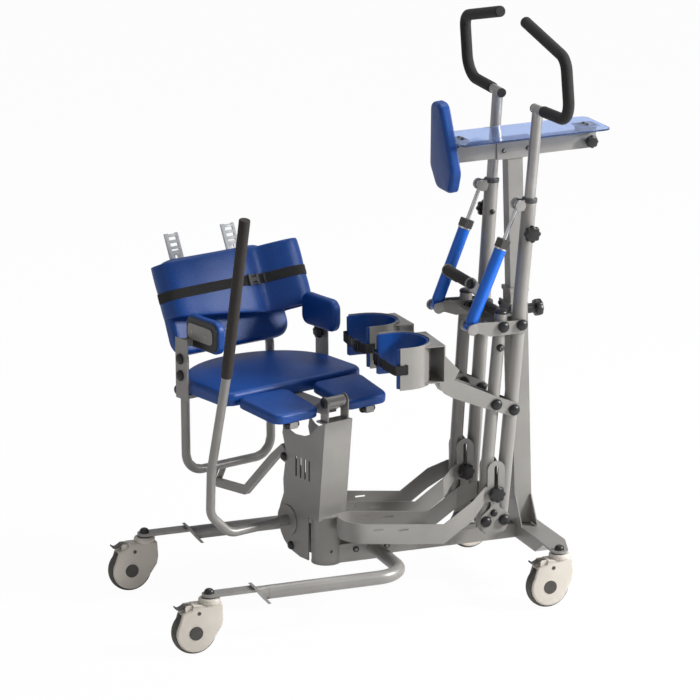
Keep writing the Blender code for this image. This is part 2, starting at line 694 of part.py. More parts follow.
def pivot_yoke(base):
    """Plates on both sides of each tube pair, joined by a cross plate to a bracket on the mast."""
    outline = arc((SHOCK_BASE_X, 0), 0.0145, 100, 260, 6)
    outline += [(-0.128, -0.0125), (-0.094, -0.0245), (0.014, -0.0245), (0.019, -0.020)]
    outline += [(0.019, 0.008), (0.015, 0.012), (-0.096, 0.0160), (-0.124, 0.0175)]
    solids, holes = [], []
    for side in (-1, 1):
        frame = side_frame(side)
        solids += plate_pair(outline, frame)
        solids.append(box((-0.099, -0.095), (-PLATE_GAP - 0.001, PLATE_GAP + 0.001), (-0.018, 0.011), frame))
        holes.append(cross_rod(SHOCK_BASE_X, 0, clear_of(0.006), frame))
        holes.append(cross_rod(-TUBE_SPACING, 0, clear_of(PIN_RADIUS), frame))
        holes.append(cross_rod(0, 0, clear_of(PIN_RADIUS), frame))
    reach = GLIDE_PIVOT[1] - PLATE_GAP - 0.0015
    solids.append(box((0.385, 0.479), (-reach, reach), (0.772, 0.778)))
    solids.append(box((-0.0308, -MAST_DEPTH / 2 - GAP), (-0.045, 0.045), (0.575, 0.652), MAST))
    for y in (-0.036, 0.036):
        for z in (0.587, 0.640):
            solids.append(dome((-0.0305, y, z), -X_AXIS, 0.006, 0.005, 8, MAST))
    for side in (-1, 1):
        for x in (GLIDE_PIVOT[0] - TUBE_SPACING, GLIDE_PIVOT[0]):
            span = sorted((side * 0.0825, side * (GLIDE_PIVOT[1] - PLATE_GAP - SHEET - GAP)))
            holes.append(box((x - 0.0140, x + (0.0140 if x < 0.45 else 0.03)), span, (0.76, 0.79)))
    assemble("pivot_yoke", solids, GREY_PAINT, base, IDENTITY, holes)


def grab_bar(base):
    """A sloping plate on the yoke with a foam grip between its ears."""
    slope = at(0.440, 0, 0.790) @ spin("Y", -46.1)
    top = 0.143
    plate = [(-0.082, -0.040), (0.082, -0.040), (0.082, 0.118), (-0.082, 0.118)]
    solids = [prism(plate, -0.002, 0.002, "yz", slope)]
    ear = [*arc((0, top), 0.018, -10, 190, 8), (-0.010, 0.098), (0.010, 0.098)]
    for side in (-1, 1):
        solids.append(prism(ear, *sorted((side * 0.0812, side * 0.0845)), "xz", slope))
        solids.append(dome((0, side * 0.0843, top), Y_AXIS * side, 0.0135, 0.007, 12, slope))
    holes = [box((0.36, 0.52), (-0.2, 0.2), (0.70, 0.778 + GAP))]
    flange = [box((0.420, 0.4715), (-0.0815, 0.0815), (0.778 + GAP, 0.7815))]
    assemble("grab_plate", solids, GREY_PAINT, base, IDENTITY, holes, flange)
    grip = [rod((0, -0.0812 + GAP, top), (0, 0.0812 - GAP, top), GRIP_RADIUS, 16, slope)]
    assemble("grab_grip", grip, BLACK_FOAM, base)


# Glider sides

SIDES = {1: "left", -1: "right"}


def capped_pin(z, radius=PIN_RADIUS, x=0.0, frame=IDENTITY):
    """A pin across a tube with a dome cap outside each plate."""
    reach = PLATE_GAP + SHEET + 0.0017
    solids = [cross_rod(x, z, radius, frame, reach + 0.0005)]
    for side in (-1, 1):
        solids.append(dome((x, side * reach, z), Y_AXIS * side, frame=frame))
    return solids


def glider_side(side, base):
    """One side: two hanging tubes, the hand grip, the shock, the knee cup and the foot basket."""
    tag = "_" + SIDES[side]
    across = Y_AXIS
    hang = side_frame(side)
    rear = hang @ spin("Y", TUBE_LEAN)
    front = hang @ at(-TUBE_SPACING, 0, 0) @ spin("Y", TUBE_LEAN)

    gliding = joint_axis("glide" + tag, rear, across, base)
    bottom = -(FOOT_DROP + TUBE_END)
    solids = [rod((0, 0, bottom), (0, 0, COLLAR_HEIGHT), HANDLE_TUBE_RADIUS, 14)]
    solids.append(rod((0, 0, COLLAR_HEIGHT - 0.010), (0, 0, COLLAR_HEIGHT + 0.002), HANDLE_TUBE_RADIUS + 0.001, 14))
    for z in (0, -KNEE_DROP_REAR, -FOOT_DROP):
        solids += capped_pin(z)
    solids += star_knob((0, side * (HANDLE_TUBE_RADIUS - 0.001), 0.260), across * side, 0.012, 0.019)
    solids.append(dome((0, -side * (HANDLE_TUBE_RADIUS - 0.0005), 0.260), -across * side, 0.007, 0.005, 8))
    eye_x, eye_z = SHOCK_TOP
    ear = [*arc((eye_x, eye_z), 0.0135, 80, 280, 8), (-0.012, eye_z - 0.0165), (-0.012, eye_z + 0.0165)]
    for inner, outer in ((0.0075, 0.0115), (-0.0115, -0.0075)):
        solids.append(prism(ear, inner, outer))
    holes = [rod((0, 0, 0.050), (0, 0, COLLAR_HEIGHT + 0.01), clear_of(STEM_TUBE_RADIUS, 14), 14)]
    holes.append(cross_rod(eye_x, eye_z, clear_of(0.005)))
    assemble("handle_tube" + tag, solids, GREY_PAINT, gliding, rear, holes)

    hanging = joint_axis("front_swing" + tag, front, across, base)
    solids = [rod((0, 0, bottom), (0, 0, FRONT_TUBE_TOP), FRONT_TUBE_RADIUS, 14)]
    solids.append(dome((0, 0, FRONT_TUBE_TOP - 0.004), Z_AXIS, FRONT_TUBE_RADIUS + 0.001, 0.011, 14))
    for z in (0, -KNEE_DROP_FRONT, -FOOT_DROP):
        solids += capped_pin(z)
    solids.append(dome((0, -FRONT_TUBE_RADIUS + 0.0055, -0.062), -across, 0.0105, 0.015, 12))
    assemble("front_tube" + tag, solids, GREY_PAINT, hanging, front)

    handle(side, tag, rear, gliding)
    shock(side, tag, hang, rear, base, gliding)
    knee_cup(side, tag, hang, rear, gliding)
    foot_basket(side, tag, hang, rear, gliding)


def handle(side, tag, rear, gliding):
    """The telescoping stem bends into a loop that carries the grip."""
    sliding = joint_axis("handle_height" + tag, rear @ at(0, 0, COLLAR_HEIGHT), Z_AXIS, gliding)
    start = 0.0360
    slope = (0.611 - STEM_TOP) / (0.2125 + 0.023)
    corner = [(0.001, -0.023, STEM_TOP), (0.001, start - GAP, STEM_TOP + slope * (0.023 + start))]
    core = [(x, side * y, z) for x, y, z in corner]
    solids = [rod((0, 0, STEM_START), (0, 0, STEM_TOP + 0.002), STEM_TUBE_RADIUS, 14)]
    solids.append(tube(core, BAR_RADIUS, 12))
    assemble("handle_stem" + tag, solids, BRIGHT_STEEL, sliding, rear)
    path = [(0.001, start, STEM_TOP + slope * (0.023 + start)), (-0.001, 0.2125, 0.611)]
    path += [(-0.0265, 0.206, 0.780), (-0.034, -0.060, 0.8285)]
    path = [(x, side * y, z) for x, y, z in path]
    grip = tube(filleted(path, [0, 0.060, 0.040, 0], 4, False), GRIP_RADIUS, 12)
    assemble("handle_grip" + tag, [grip], BLACK_FOAM, sliding, rear)


def shock(side, tag, hang, rear, base, gliding):
    """A cylinder on the yoke and its rod on the handle tube."""
    low = hang @ Vector((SHOCK_BASE_X, 0, 0))
    high = rear @ Vector((SHOCK_TOP[0], 0, SHOCK_TOP[1]))
    length = (high - low).length
    reach = hang.inverted() @ high - Vector((SHOCK_BASE_X, 0, 0))
    tilt = math.degrees(math.atan2(reach.x, reach.z))
    frame = hang @ at(SHOCK_BASE_X, 0, 0) @ spin("Y", tilt)
    leaning = joint_axis("shock_swing" + tag, frame, Y_AXIS, base)
    top = SHOCK_BODY_END
    solids = [rod((0, 0, 0.020), (0, 0, top), SHOCK_RADIUS, 14)]
    solids.append(turned([(0.0105, 0.006), (SHOCK_RADIUS, 0.0205)], (0, 0, 0), Z_AXIS, 14))
    solids.append(cross_rod(0, 0, 0.0115, half=0.0105, sides=14))
    solids.append(cross_rod(0, 0, 0.006, half=0.0285))
    for face in (-1, 1):
        solids.append(rod((0, face * 0.0255, 0), (0, face * 0.0295, 0), 0.0125, 14))
    solids.append(rod((0, 0, top - 0.002), (0, 0, top + 0.004), SHOCK_RADIUS + 0.001, 14))
    solids.append(rod((0, 0, top + 0.003), (0, 0, top + GLAND_LENGTH), 0.0215, 6))
    holes = [rod((0, 0, 0.030), (0, 0, top + 0.05), ROD_RADIUS + 0.0012, 12)]
    assemble("shock_cylinder" + tag, solids, BLUE_PAINT, leaning, frame, holes)

    pulling = joint_axis("rod_swing" + tag, frame @ at(0, 0, length), Y_AXIS, gliding)
    solids = [rod((0, 0, 0.066), (0, 0, length - 0.004), ROD_RADIUS, 12)]
    solids.append(cross_rod(0, length, 0.0115, half=0.007, sides=16))
    solids.append(cross_rod(0, length, 0.005, half=0.0135))
    for face in (-1, 1):
        solids.append(rod((0, face * 0.0122, length), (0, face * 0.0190, length), 0.0135, 16))
    assemble("shock_rod" + tag, solids, BRIGHT_STEEL, pulling, frame)


def knee_cup(side, tag, hang, rear, gliding):
    """The arm stays level on both tubes and carries the padded cup and its strap."""
    pivot = hang.inverted() @ rear @ Vector((0, 0, -KNEE_DROP_REAR))
    level = joint_axis("knee_level" + tag, hang @ at(pivot.x, 0, pivot.z), Y_AXIS, gliding)
    outline = [(-0.234, -0.066), (-0.226, -0.066), (-0.183, -0.112), (-0.198, -0.138), (-0.075, -0.197)]
    outline += [(-0.010, -0.224), (0.003, -0.236), (-0.004, -0.253), (-0.020, -0.263), (-0.113, -0.227)]
    outline += [(-0.205, -0.188), (-0.228, -0.174), (-0.242, -0.150), (-0.242, -0.070)]
    solids = plate_pair(outline)
    solids.append(box((-0.2422, -0.2382), (-PLATE_GAP - 0.001, PLATE_GAP + 0.001), (-0.148, -0.072)))
    pin = hang.inverted() @ rear @ at(0, 0, 0) @ Vector((0, 0, -KNEE_DROP_FRONT)) - Vector((TUBE_SPACING, 0, 0))
    clear = clear_of(PIN_RADIUS)
    slot = arc((pin.x + 0.0055, pin.z), clear + 0.0002, -90, 90, 4) + arc((pin.x - 0.0055, pin.z), clear + 0.0002, 90, 270, 4)
    holes = [prism(slot, -0.05, 0.05), cross_rod(pivot.x, pivot.z, clear)]
    for z in (-0.084, -0.094, -0.124, -0.134):
        holes.append(cross_rod(-0.2330, z, 0.0022, sides=6))
    assemble("knee_arm" + tag, solids, GREY_PAINT, level, hang, holes)

    centre = side * CUP_OFFSET
    middle_x = CUP_LIP_X + CUP_STRAIGHT
    low, high = CUP_BOTTOM, CUP_BOTTOM + CUP_HEIGHT

    def cup_path(radius, lip):
        return [(lip, centre - radius), *arc((middle_x, centre), radius, -90, 90, 12), (lip, centre + radius)]

    def flat_section(thickness, bottom, top):
        half = thickness / 2
        return lambda x: [(-half, bottom), (half, bottom), (half, top), (-half, top)]

    wall = CUP_RADIUS - CUP_WALL / 2
    solids = [band(cup_path(wall, CUP_LIP_X), flat_section(CUP_WALL, low, high))]
    back = -0.2425
    web = [(back, centre - 0.0725), (back, centre + 0.0725), *arc((middle_x, centre), wall, 60, -60, 12)]
    for z in (low + 0.007, high - 0.010):
        solids.append(prism(web, z, z + 0.003, "xy"))
    solids.append(box((back - 0.003, back), (centre - 0.0725, centre + 0.0725), (low + 0.0072, high - 0.0072)))
    outer = side * (CUP_RADIUS + 0.006)
    inner = side * (CUP_RADIUS - 0.006)
    slot_y = sorted((centre + outer, centre + inner))
    holes = [box((CUP_LIP_X + 0.014, CUP_LIP_X + 0.018), slot_y, (-0.093, -0.061))]
    assemble("knee_shell" + tag, solids, GREY_PAINT, level, hang, holes)

    liner = CUP_RADIUS - CUP_WALL - GAP - CUP_PAD / 2
    pad = band(cup_path(liner, CUP_LIP_X - 0.008), flat_section(CUP_PAD, low + 0.003, high - 0.003))
    assemble("knee_pad" + tag, [pad], BLUE_VINYL, level, hang)

    outside = CUP_RADIUS + 0.0018
    path = [(-0.356, outside), (-0.3850, outside), (-0.3945, 0.078), (-0.3990, 0.030), (-0.3995, -0.030)]
    path += [(-0.3945, -0.078), (-0.3850, -outside), (-0.364, -outside)]
    path = [(x, centre + side * y) for x, y in path]
    solids = [band(smooth_path(path, 1), flat_section(0.0024, -0.0905, -0.0635))]
    for y in (-0.050, -0.030):
        solids.append(box((-0.4035, -0.3965), sorted((centre + side * y, centre + side * (y + 0.006))), (-0.0940, -0.0600)))
    solids.append(box((-0.4035, -0.3965), sorted((centre - side * 0.052, centre - side * 0.024)), (-0.0945, -0.0895)))
    solids.append(box((-0.4035, -0.3965), sorted((centre - side * 0.052, centre - side * 0.024)), (-0.0645, -0.0595)))
    assemble("knee_strap" + tag, solids, BLACK_FOAM, level, hang)


def basket_top(x):
    """Height of the basket's rim: falling from the heel, then rising to the link plates."""
    if x <= BASKET_BEND_X:
        return BASKET_TOP - BASKET_SLOPE * (x + GLIDE_PIVOT[0])
    bend = BASKET_TOP - BASKET_SLOPE * (BASKET_BEND_X + GLIDE_PIVOT[0])
    return bend + BASKET_RISE * (min(x, -0.112) - BASKET_BEND_X)


def foot_basket(side, tag, hang, rear, gliding):
    """The basket hangs level on both tubes and its height is set in a slotted plate."""
    heel = hang.inverted() @ rear @ Vector((0, 0, -FOOT_DROP))
    level = joint_axis("foot_level" + tag, hang @ at(heel.x, 0, heel.z), Y_AXIS, gliding)
    front_x = heel.x - TUBE_SPACING
    stud = (-0.071, -0.479)
    outline = [(front_x - 0.018, heel.z), (front_x - 0.006, -0.594), (heel.x + 0.006, -0.594), (heel.x + 0.018, heel.z)]
    outline += [(heel.x + 0.014, -0.543), (-0.058, -0.521), (-0.058, -0.468), (-0.084, -0.468), (-0.084, -0.521)]
    outline += [(front_x - 0.014, -0.545)]
    solids = plate_pair(filleted(outline, [0.012, 0.012, 0.012, 0.012, 0.01, 0.01, 0.008, 0.008, 0.01, 0.01], 2))
    solids.append(box((front_x, heel.x), (-PLATE_GAP - 0.0035, PLATE_GAP + 0.0035), (-0.5975, -0.5925)))
    outside = PLATE_GAP + SHEET
    holes = [cross_rod(x, heel.z, clear_of(PIN_RADIUS)) for x in (front_x, heel.x)]
    for face in (-1, 1):
        solids.append(rod((stud[0], face * (outside - 0.001), stud[1]), (stud[0], face * 0.0325, stud[1]), 0.0052, 10))
    solids += star_knob((stud[0], -0.0312, stud[1]), -Y_AXIS, 0.001, 0.020, 0.013)
    solids.append(dome((stud[0], 0.0312, stud[1]), Y_AXIS, 0.011, 0.009, 12))
    assemble("foot_link" + tag, solids, GREY_PAINT, level, hang, holes)

    setting = joint_axis("foot_height" + tag, hang @ at(stud[0], 0, stud[1]), Z_AXIS, level)
    half = BASKET_HALF_WIDTH
    near = 0.0280
    offset = side * BASKET_OFFSET
    round_x = BASKET_HEEL_X + half + BASKET_WALL / 2
    path = [(-0.058, -near), (-0.104, -near), (-0.152, offset - half), (BASKET_BEND_X, offset - half)]
    path += [(-0.350, offset - half), *arc((round_x, offset), half, 270, 90, 10), (-0.350, offset + half)]
    path += [(BASKET_BEND_X, offset + half), (-0.152, offset + half), (-0.104, near), (-0.058, near)]
    wall = BASKET_WALL / 2

    def section(x):
        high = basket_top(x)
        low = high - BASKET_HEIGHT + (0.012 if x > -0.13 else 0)
        return [(-wall, low), (wall, low), (wall, high), (-wall, high)]

    solids = [band(path, section)]
    plan = [(BASKET_BEND_X, offset - half), (BASKET_BEND_X, offset + half), *arc((round_x, offset), half, 90, 270, 10)]
    solids.append(loft([[(x, y, basket_top(x) - BASKET_HEIGHT + t) for x, y in plan] for t in (0.0004, 0.0034)]))
    plate = [*arc((stud[0], -0.410), 0.026, 0, 180, 8), (-0.097, -0.497), (-0.045, -0.497)]
    slot = arc((stud[0], -0.404), 0.0060, 0, 180, 4) + arc((stud[0], -0.481), 0.0060, 180, 360, 4)
    inner, outer = near - 0.002, near + 0.002
    solids += [prism(plate, -outer, -inner), prism(plate, inner, outer)]
    holes = [prism(slot, -0.05, 0.05)]
    for x in (-0.432, -0.358):
        z = basket_top(x) - 0.016
        holes.append(box((x - 0.015, x + 0.015), (offset - 0.08, offset + 0.08), (z - 0.0025, z + 0.0025)))
    assemble("foot_basket" + tag, solids, GREY_PAINT, setting, hang, holes)


# Seat

SEAT = at(HUB_X, 0, 0) @ spin("Z", SEAT_HEADING)


def front_face(z):
    """How far forward the column's sloping front stands."""
    return 0.030 + (z - 0.25) * 0.118


def seat_column(turning):
    """A folded column on the swivel hub with a fork on top and the lever's disc at its side."""
    inner, outer = COLUMN_HALF_WIDTH - SHEET, COLUMN_HALF_WIDTH
    low = HUB_TOP + GAP
    crest = [(front_face(0.533), 0.533), (0.029, 0.518), (0.000, 0.489), (-0.036, 0.474), (-0.080, 0.470)]
    crest += [(-0.109, 0.477), (-0.131, 0.4916), (-0.138, 0.462), (-0.123, 0.415), (-0.123, 0.393), (-0.136, 0.327)]
    near_edge = [(-0.134, 0.287), (-0.150, 0.252), (-0.159, 0.228), (-0.159, 0.196), (-0.150, 0.170)]
    near_edge += [(-0.136, 0.151), (-0.108, 0.130), (-0.060, 0.1185), (-0.021, 0.1180), (-0.021, low + 0.003)]
    far_edge = [(-0.134, 0.290), (-0.030, 0.285), (-0.030, low + 0.003)]
    foot = (front_face(low + 0.003), low + 0.003)
    lever_f, lever_z = LEVER_AXIS
    solids = [prism([*crest, *near_edge, foot], -outer, -inner)]
    solids.append(prism([*crest, *far_edge, foot], inner, outer))
    wall = [foot, (front_face(0.533), 0.533), (front_face(0.533) - 0.0032, 0.533), (foot[0] - 0.0032, foot[1])]
    solids.append(prism(wall, -outer + 0.001, outer - 0.001))
    solids.append(rod((0, 0, low), (0, 0, low + 0.009), 0.0445, 20))
    solids.append(rod((0, 0, 0.165), (0, 0, low + 0.005), SPINDLE_RADIUS, 16))
    solids.append(box((0.020, front_face(0.530)), (-outer + 0.0015, outer - 0.0015), (0.527, 0.532)))
    pivot_f, pivot_z = LIFT_PIVOT
    ear = [*arc((pivot_f, pivot_z), 0.0175, 0, 180, 8), (pivot_f - 0.0175, 0.529), (pivot_f + 0.0150, 0.529)]
    for side in (-1, 1):
        solids.append(prism(ear, *sorted((side * 0.0320, side * 0.0360))))
    solids.append(rod((lever_f, -outer + 0.001, lever_z), (lever_f, -outer - 0.004, lever_z), 0.044, 24))
    solids.append(prism(circle((-0.130, 0.394), 0.017, 12), -outer + 0.0005, -inner - 0.0005))
    solids.append(dome((-0.130, -outer + 0.0005, 0.394), -Y_AXIS, 0.0115, 0.010, 12))
    solids.append(dome((-0.100, -outer + 0.0005, 0.142), -Y_AXIS, 0.0115, 0.010, 12))
    link_f, link_z = link_root()
    solids.append(rod((link_f, -inner - 0.001, link_z), (link_f, -0.013, link_z), 0.006, 12))
    holes = [cross_rod(pivot_f, pivot_z, clear_of(PIN_RADIUS))]
    holes.append(rod((lever_f, -0.08, lever_z), (lever_f, -0.02, lever_z), clear_of(0.009, 14), 14))
    for i in range(4):
        f = -0.078 + i * 0.0205
        holes.append(box((f, f + 0.0075), (-outer - 0.01, -inner + 0.01), (0.350, 0.408)))
    assemble("seat_column", solids, GREY_PAINT, turning, SEAT, holes)

    solids = [rod((-0.060, 0.0140, 0.298), (-0.060, 0.0140, 0.440), 0.0215, 16)]
    solids.append(rod((-0.060, 0.0140, 0.435), (-0.060, 0.0140, 0.468), 0.009, 12))
    solids.append(rod((-0.060, 0.0140, 0.430), (-0.060, 0.0140, 0.446), 0.0235, 16))
    solids.append(rod((-0.060, -0.0100, 0.312), (-0.060, inner - GAP, 0.312), 0.008, 12))
    assemble("hydraulic_unit", solids, BLACK_PLASTIC, turning, SEAT)


def link_root():
    """Where the lower link hinges: the seat's pivots and the link's make a parallelogram."""
    return LIFT_PIVOT[0] + LINK_PIVOT[0] - BACK_PIVOT[0], LIFT_PIVOT[1] + LINK_PIVOT[1] - BACK_PIVOT[1]


def pump_lever(turning):
    """A bent lever with a foam grip that works the lift pump."""
    f, z = LEVER_AXIS
    start = -(COLUMN_HALF_WIDTH + 0.004 + GAP)
    pumping = joint_axis("pump", SEAT @ at(f, start, z), Y_AXIS, turning)
    path = [(f, start, z), (f, -0.245, z), (-0.125, LEVER_L, 0.272), (-0.118, LEVER_L, 0.400)]
    path += [(-0.039, LEVER_L, 0.686), (-0.036, LEVER_L, 0.701)]
    solids = [tube(filleted(path, [0, 0.05, 0.05, 0.15, 0, 0], 3, False), LEVER_TUBE_RADIUS, 12)]
    solids.append(tube([(-0.0395, LEVER_L, 0.686), (0.056, LEVER_L, 1.140)], 0.0150, 16))
    solids.append(rod((f, start, z), (f, start - 0.030, z), 0.0155, 16))
    solids.append(rod((f, start - 0.002, z), (f, -0.036, z), 0.009, 14))
    assemble("pump_lever", solids, GREY_PAINT, pumping, SEAT)


def seat_frame(lifting):
    """The spine on the lift pivot with cushion supports, rear lugs and the hip pad posts."""
    pivot_f, pivot_z = LIFT_PIVOT
    back_f, back_z = BACK_PIVOT
    low, high = 0.5455, SEAT_TOP - SEAT_THICKNESS - GAP
    solids = [box((-0.440, 0.018), (-0.025, 0.025), (low, high))]
    lug = [*arc((pivot_f, pivot_z), 0.0150, -60, 150, 8), (-0.010, high - 0.001), (0.010, low + 0.002), (0.030, low + 0.014)]
    solids.append(prism(lug, -0.0285, 0.0285))
    solids.append(cross_rod(pivot_f, pivot_z, PIN_RADIUS, half=0.0370, sides=14))
    for side in (-1, 1):
        solids.append(dome((pivot_f, side * 0.0366, pivot_z), Y_AXIS * side, CAP_RADIUS, 0.0048, 14))
    solids.append(rod((-0.425, -0.1665, 0.5535), (-0.425, 0.1665, 0.5535), 0.0115, 14))
    ear = [*arc((back_f, back_z), 0.0140, 120, 290, 8), (-0.412, 0.545), (-0.418, 0.5635)]
    holes = []
    for side in (-1, 1):
        solids.append(prism(ear, *sorted((side * 0.1640, side * 0.1680))))
        holes.append(rod((back_f, side * 0.155, back_z), (back_f, side * 0.175, back_z), clear_of(0.007, 12), 12))
    solids.append(rod((-0.030, -0.165, 0.5460), (-0.030, 0.165, 0.5460), 0.0075, 12))
    for side in (-1, 1):
        solids.append(box((-0.034, 0.022), sorted((side * 0.122, side * 0.138)), (0.5375, 0.5475)))
        solids.append(box((0.006, 0.034), sorted((side * 0.117, side * 0.143)), (0.5270, 0.5450)))
        for face in (-1, 1):
            solids.append(dome((0.020, side * 0.130 + face * 0.0125, 0.536), Y_AXIS * face, 0.0100, 0.012, 12))
        solids.append(box((-0.036, -0.026), sorted((side * 0.148, side * 0.162)), (0.5460, 0.5505)))
    solids.append(box((POST_F - 0.012, POST_F + 0.012), (-POST_L - 0.001, POST_L + 0.001), (0.5465, 0.5560)))
    for side in (-1, 1):
        face = side * (POST_L + 0.0015)
        plate = sorted((side * (POST_L - 0.0010), face))
        solids.append(box((POST_F - 0.030, POST_F + 0.029), plate, (0.5458, 0.720)))
        for z in (0.613, 0.661):
            solids.append(dome((-0.346, face - side * 0.0005, z), Y_AXIS * side, 0.0115, 0.010, 12))
        solids += star_knob((-0.346, side * (POST_L - 0.0005), 0.661), -Y_AXIS * side, 0.004, 0.016, 0.012)
        solids.append(box((POST_F - 0.016, POST_F + 0.016), sorted((side * 0.2137, side * (POST_L + 0.0002))), (0.700, 0.716)))
    assemble("seat_frame", solids, GREY_PAINT, lifting, SEAT, holes)


def cushions(lifting):
    """The main cushion, two thigh cushions and two hip pads."""
    straight = SEAT_STRAIGHT
    depth = straight - SEAT_REAR
    half = SEAT_HALF_WIDTH
    outline = [(SEAT_FRONT, -half + 0.030), (SEAT_FRONT, half - 0.030), (SEAT_FRONT - 0.012, half - 0.008)]
    outline += [(SEAT_FRONT - 0.035, half), (straight, half)]
    for i in range(1, 12):
        angle = math.radians(90 - 15 * i)
        outline.append((straight - depth * math.cos(angle), half * math.sin(angle)))
    outline += [(straight, -half), (SEAT_FRONT - 0.035, -half), (SEAT_FRONT - 0.012, -half + 0.008)]
    base = SEAT @ at(0, 0, SEAT_TOP - SEAT_THICKNESS)
    pad = cushion(outline, SEAT_THICKNESS - 0.003, 0.003)
    assemble("seat_cushion", [pad], BLUE_VINYL, lifting, base)

    for side in (-1, 1):
        length = THIGH_FRONT - THIGH_BACK
        width = THIGH_OUTER - THIGH_INNER
        thick = 0.030
        corners = [(0.002, 0), (length, 0), (length, width - 0.020), (0.002, width)]
        rounded = filleted(corners, [0.026, 0.030, 0.035, 0.026], 4)
        frame = SEAT @ at(THIGH_BACK, 0, THIGH_TOP - thick - 0.0005) @ spin("Y", THIGH_TILT)
        outline = [(p.x, side * (THIGH_INNER + p.y)) for p in rounded]
        pad = cushion(outline, thick - 0.002, 0.002, edge=0.008)
        assemble("thigh_cushion_" + SIDES[side], [pad], BLUE_VINYL, lifting, frame)

        corners = [(-0.365, 0.690), (-0.205, 0.690), (-0.205, 0.785), (-0.365, 0.785)]
        outline = [(side * p.x, p.y) for p in filleted(corners, 0.030, 4)]
        turn = spin("Z", -90 * side)
        place = SEAT @ at(0, side * 0.2130, 0) @ turn
        pad = cushion(outline, 0.029, 0.002, "yz", edge=0.008)
        assemble("hip_pad_" + SIDES[side], [pad], BLUE_VINYL, lifting, place)


def seat_back(lifting, turning):
    """The back stays upright on a parallelogram while the seat lifts."""
    back_f, back_z = BACK_PIVOT
    link_f, link_z = LINK_PIVOT
    staying = joint_axis("back_level", SEAT @ at(back_f, 0, back_z), Y_AXIS, lifting)
    leg_f = -0.465
    lean = math.radians(BACK_LEAN)
    top = (leg_f - 0.23 * math.sin(lean), 0.62 + 0.23 * math.cos(lean))
    path = [(top[0], -BACK_LEG_L, top[1]), (leg_f, -BACK_LEG_L, 0.62), (leg_f, -BACK_LEG_L, 0.285)]
    path += [(leg_f, BACK_LEG_L, 0.285), (leg_f, BACK_LEG_L, 0.62), (top[0], BACK_LEG_L, top[1])]
    bends = [0, 0.05, 0.055, 0.055, 0.05, 0]
    solids = [tube(filleted(path, bends, 3, False), BACK_TUBE_RADIUS, 12)]
    board = at(BACK_FOOT[0], 0, BACK_FOOT[1]) @ spin("Y", -BACK_LEAN)
    for side in (-1, 1):
        solids.append(rod((back_f, side * (BACK_LEG_L + 0.002), back_z), (back_f, side * 0.1700, back_z), 0.007, 12))
        solids.append(dome((back_f, side * 0.1695, back_z), Y_AXIS * side, CAP_RADIUS, 0.010, 14))
        for s in (0.060, 0.151):
            block = sorted((side * (BACK_LEG_L - 0.009), side * (BACK_LEG_L + 0.009)))
            solids.append(box((-0.012, -GAP), block, (s - 0.012, s + 0.012), board))
        strip = box((-0.0062, -0.0030), sorted((side * 0.0740, side * 0.1200)), (0.161, 0.301), board)
        solids.append(strip)
    solids.append(box((-0.0130, -0.0050), (-BACK_LEG_L, BACK_LEG_L), (0.156, 0.178), board))
    plate = [(leg_f - 0.008, 0.290), (leg_f + 0.008, 0.283), (link_f + 0.011, link_z), (link_f + 0.004, link_z - 0.011)]
    plate += [(link_f - 0.008, link_z - 0.008), (link_f - 0.011, link_z + 0.004)]
    solids += [prism(plate, -0.0410, -0.0370), prism(plate, -0.0150, -0.0110)]
    solids.append(rod((link_f, -0.0400, link_z), (link_f, -0.0120, link_z), 0.0055, 12))
    holes = []
    for side in (-1, 1):
        for s in (0.214, 0.268):
            slot = sorted((side * 0.0930, side * 0.1010))
            holes.append(box((-0.03, 0.001), slot, (s - 0.020, s + 0.020), board))
    assemble("back_frame", solids, GREY_PAINT, staying, SEAT, holes)

    half = BOARD_HALF_WIDTH
    corners = [(-half, 0), (half, 0), (half - 0.004, BOARD_HEIGHT), (-half + 0.004, BOARD_HEIGHT)]
    pad = cushion(filleted(corners, [0.045, 0.045, 0.060, 0.060], 4), BOARD_THICKNESS, 0.004, "yz")
    assemble("backrest", [pad], BLUE_VINYL, staying, SEAT @ board)

    face = BOARD_THICKNESS + 0.004
    line = [(-0.2051, -0.030), (-0.2055, -0.004), (-0.188, 0.032), (-0.120, 0.044), (-0.050, 0.050), (0.050, 0.048)]
    line += [(0.115, 0.032), (0.170, 0.060), (0.222, 0.077), (0.256, 0.058), (0.246, 0.014), (0.2086, -0.008), (0.2051, -0.030)]
    path = smooth_path([(face + n, across) for across, n in line], 3)

    def section(x):
        return [(-0.007, 0.070), (0.007, 0.070), (0.009, 0.084), (0.009, 0.248), (0.007, 0.262),
                (-0.007, 0.262), (-0.009, 0.248), (-0.009, 0.084)]

    solids = [band(path, section)]
    assemble("belt", solids, BLACK_FOAM, staying, SEAT @ board)

    root_f, root_z = link_root()
    linking = joint_axis("link_swing", SEAT @ at(root_f, 0, root_z), Y_AXIS, turning)
    line = [(root_f, root_z), (-0.158, 0.408), (-0.205, 0.371), (-0.345, 0.238), (link_f, link_z)]
    outline = inset_line(line, 0.011)
    solids = [prism(outline, -0.0355, -0.0165)]
    for f, z in (line[0], line[-1]):
        solids.append(prism(circle((f, z), 0.0118, 14), -0.0355, -0.0165))
    holes = [cross_rod(root_f, root_z, clear_of(0.006)), cross_rod(link_f, link_z, clear_of(0.0060))]
    assemble("lower_link", solids, GREY_PAINT, linking, SEAT, holes)


def inset_line(line, half):
    """The outline of a bar of constant width along a chain of points."""
    points = [Vector(p) for p in line]
    left, right = [], []
    for i, point in enumerate(points):
        before = points[max(i - 1, 0)]
        after = points[min(i + 1, len(points) - 1)]
        first = (point - before).normalized() if i else (after - point).normalized()
        last = (after - point).normalized() if i < len(points) - 1 else first
        normal = Vector((-(first.y + last.y), first.x + last.x)).normalized()
        reach = half / max(normal.dot(Vector((-first.y, first.x))), 0.4)
        left.append(point + normal * reach)
        right.append(point - normal * reach)
    return left + right[::-1]


